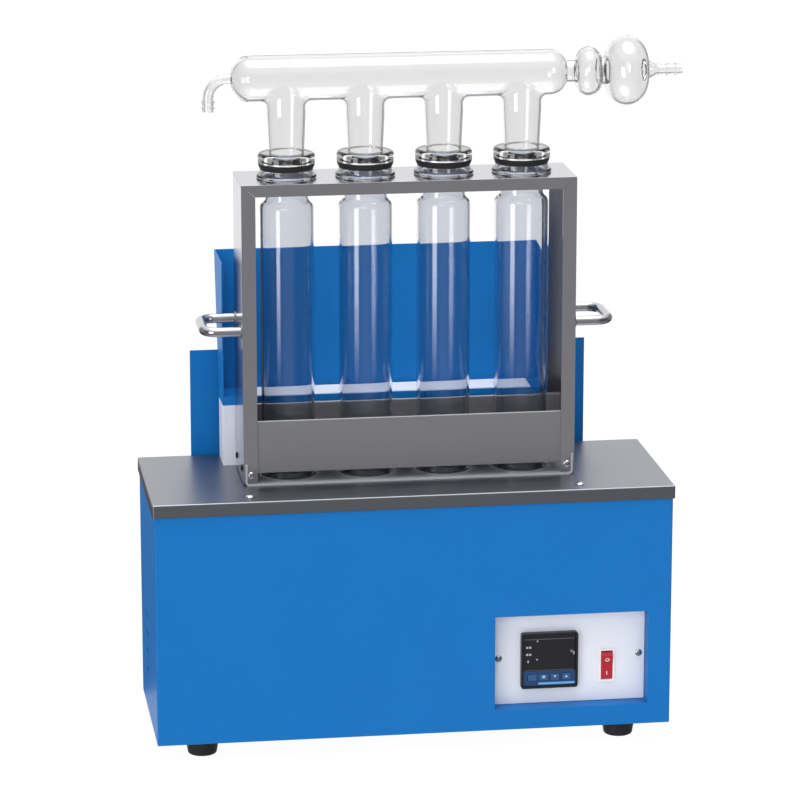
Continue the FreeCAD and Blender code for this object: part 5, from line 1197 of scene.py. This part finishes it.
def slope(tree: Tree, value: Socket, span: Point, levels: Point) -> Socket:
    """Adds a smooth change from one level to another.

    Args:
        tree: The world's node tree.
        value: What the level follows.
        span: Where the change begins and ends.
        levels: The level before and after.

    Returns:
        The socket that carries the level.
    """
    node = add_node(
        tree,
        "ShaderNodeMapRange",
        {"interpolation_type": "SMOOTHSTEP"},
        {"Value": value, "From Min": span[0], "From Max": span[1], "To Min": levels[0], "To Max": levels[1]},
    )
    return node.outputs["Result"]


@dataclass
class Surroundings:
    """The room round the object: a dim front, a bright sweep behind, a lamp overhead and a tall soft box.

    Dark flags at both sides draw the edges of the glass. The eye sees plain white, also straight through
    glass. Light and gloss see the graded room. Spans are parts of the unit direction along Y, X or Z.
    """

    turn: Point = (-0.35, 0.45)
    turn_levels: Point = (0.36, 1.1)
    flag: Point = (0.28, 0.6)
    flag_share: float = 0.3
    low: Point = (-0.6, -0.4)
    low_level: float = 0.34
    ceiling: Point = (0.3, 0.85)
    ceiling_level: float = 1.3
    overhead: Point = (0.86, 0.94)
    overhead_level: float = 3.6
    box_azimuth_deg: float = -47.5
    box_half_deg: float = 10.0
    box_soft_deg: float = 4.0
    box_foot: Point = (-0.245, -0.205)
    box_head: Point = (0.2, 0.3)
    box_level: float = 7.0
    half_a_bounce: float = 0.5

    def build(self, scene: bpy.types.Scene) -> None:
        """Adds the world.

        Args:
            scene: The scene that gets it.
        """
        world = bpy.data.worlds.new("studio")
        scene.world = world
        world.use_nodes = True
        tree = world.node_tree
        tree.nodes.clear()
        direction = add_node(tree, "ShaderNodeTexCoord")
        split = add_node(tree, "ShaderNodeSeparateXYZ", inputs={"Vector": direction.outputs["Generated"]})
        overhead = slope(tree, split.outputs["Z"], self.overhead, (0.0, self.overhead_level))
        lamps = arithmetic(tree, "ADD", overhead, self.soft_box(tree, split))
        light = arithmetic(tree, "ADD", self.walls(tree, split), lamps)
        seen = add_node(
            tree,
            "ShaderNodeMix",
            {"data_type": "RGBA"},
            {"Factor": self.straight_view(tree), 6: light, 7: WHITE_LIGHT},
        )
        background = add_node(tree, "ShaderNodeBackground", inputs={"Color": seen.outputs[2]})
        add_node(tree, "ShaderNodeOutputWorld", inputs={"Surface": background.outputs["Background"]})

    def walls(self, tree: Tree, split: bpy.types.Node) -> Socket:
        """Adds the walls between the flags, the low part and the ceiling.

        Args:
            tree: The world's node tree.
            split: The node that gives the direction's parts.

        Returns:
            The socket that carries their light.
        """
        sweep = slope(tree, split.outputs["Y"], self.turn, self.turn_levels)
        aside = arithmetic(tree, "ABSOLUTE", split.outputs["X"])
        flags = slope(tree, aside, self.flag, (1.0, self.flag_share))
        rise = slope(tree, split.outputs["Z"], self.low, (0.0, 1.0))
        lift = slope(tree, split.outputs["Z"], self.ceiling, (0.0, 1.0))
        upright = blended(tree, rise, self.low_level, arithmetic(tree, "MULTIPLY", sweep, flags))
        return blended(tree, lift, upright, self.ceiling_level)

    def soft_box(self, tree: Tree, split: bpy.types.Node) -> Socket:
        """Adds a tall lamp at the front left, with soft edges.

        Args:
            tree: The world's node tree.
            split: The node that gives the direction's parts.

        Returns:
            The socket that carries the lamp's light.
        """
        ahead = arithmetic(tree, "MULTIPLY", split.outputs["Y"], -1.0)
        azimuth = arithmetic(tree, "ARCTAN2", split.outputs["X"], ahead)
        off = arithmetic(tree, "SUBTRACT", azimuth, math.radians(self.box_azimuth_deg))
        away = arithmetic(tree, "ABSOLUTE", off)
        half = math.radians(self.box_half_deg)
        soft = math.radians(self.box_soft_deg)
        across = slope(tree, away, (half - soft, half + soft), (self.box_level, 0.0))
        foot = slope(tree, split.outputs["Z"], self.box_foot, (0.0, 1.0))
        head = slope(tree, split.outputs["Z"], self.box_head, (1.0, 0.0))
        return arithmetic(tree, "MULTIPLY", across, arithmetic(tree, "MULTIPLY", foot, head))

    def straight_view(self, tree: Tree) -> Socket:
        """Adds a switch that is 1 for the eye, also through glass, and 0 after any mirror or matt surface.

        Args:
            tree: The world's node tree.

        Returns:
            The switch's socket.
        """
        rays = add_node(tree, "ShaderNodeLightPath")
        seen, passed = rays.outputs["Is Camera Ray"], rays.outputs["Is Transmission Ray"]
        clear = arithmetic(tree, "MAXIMUM", seen, passed)
        unbent = arithmetic(tree, "LESS_THAN", rays.outputs["Glossy Depth"], self.half_a_bounce)
        return arithmetic(tree, "MULTIPLY", clear, unbent)


def main() -> None:
    """Builds the scene, piece by piece."""
    logging.basicConfig(level=logging.INFO, format="%(name)s: %(message)s")
    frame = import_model()
    Studio().build()
    shop = Workshop(frame["nodes"])
    for assembly in (Housing(), ControlPanel(), Rack(), Glassware(), Fasteners()):
        assembly.build(shop)
    left = sorted(set(frame["nodes"]) - shop.dressed)
    log.info("nodes without a finish: %s", left)


if __name__ == "__main__":
    main()
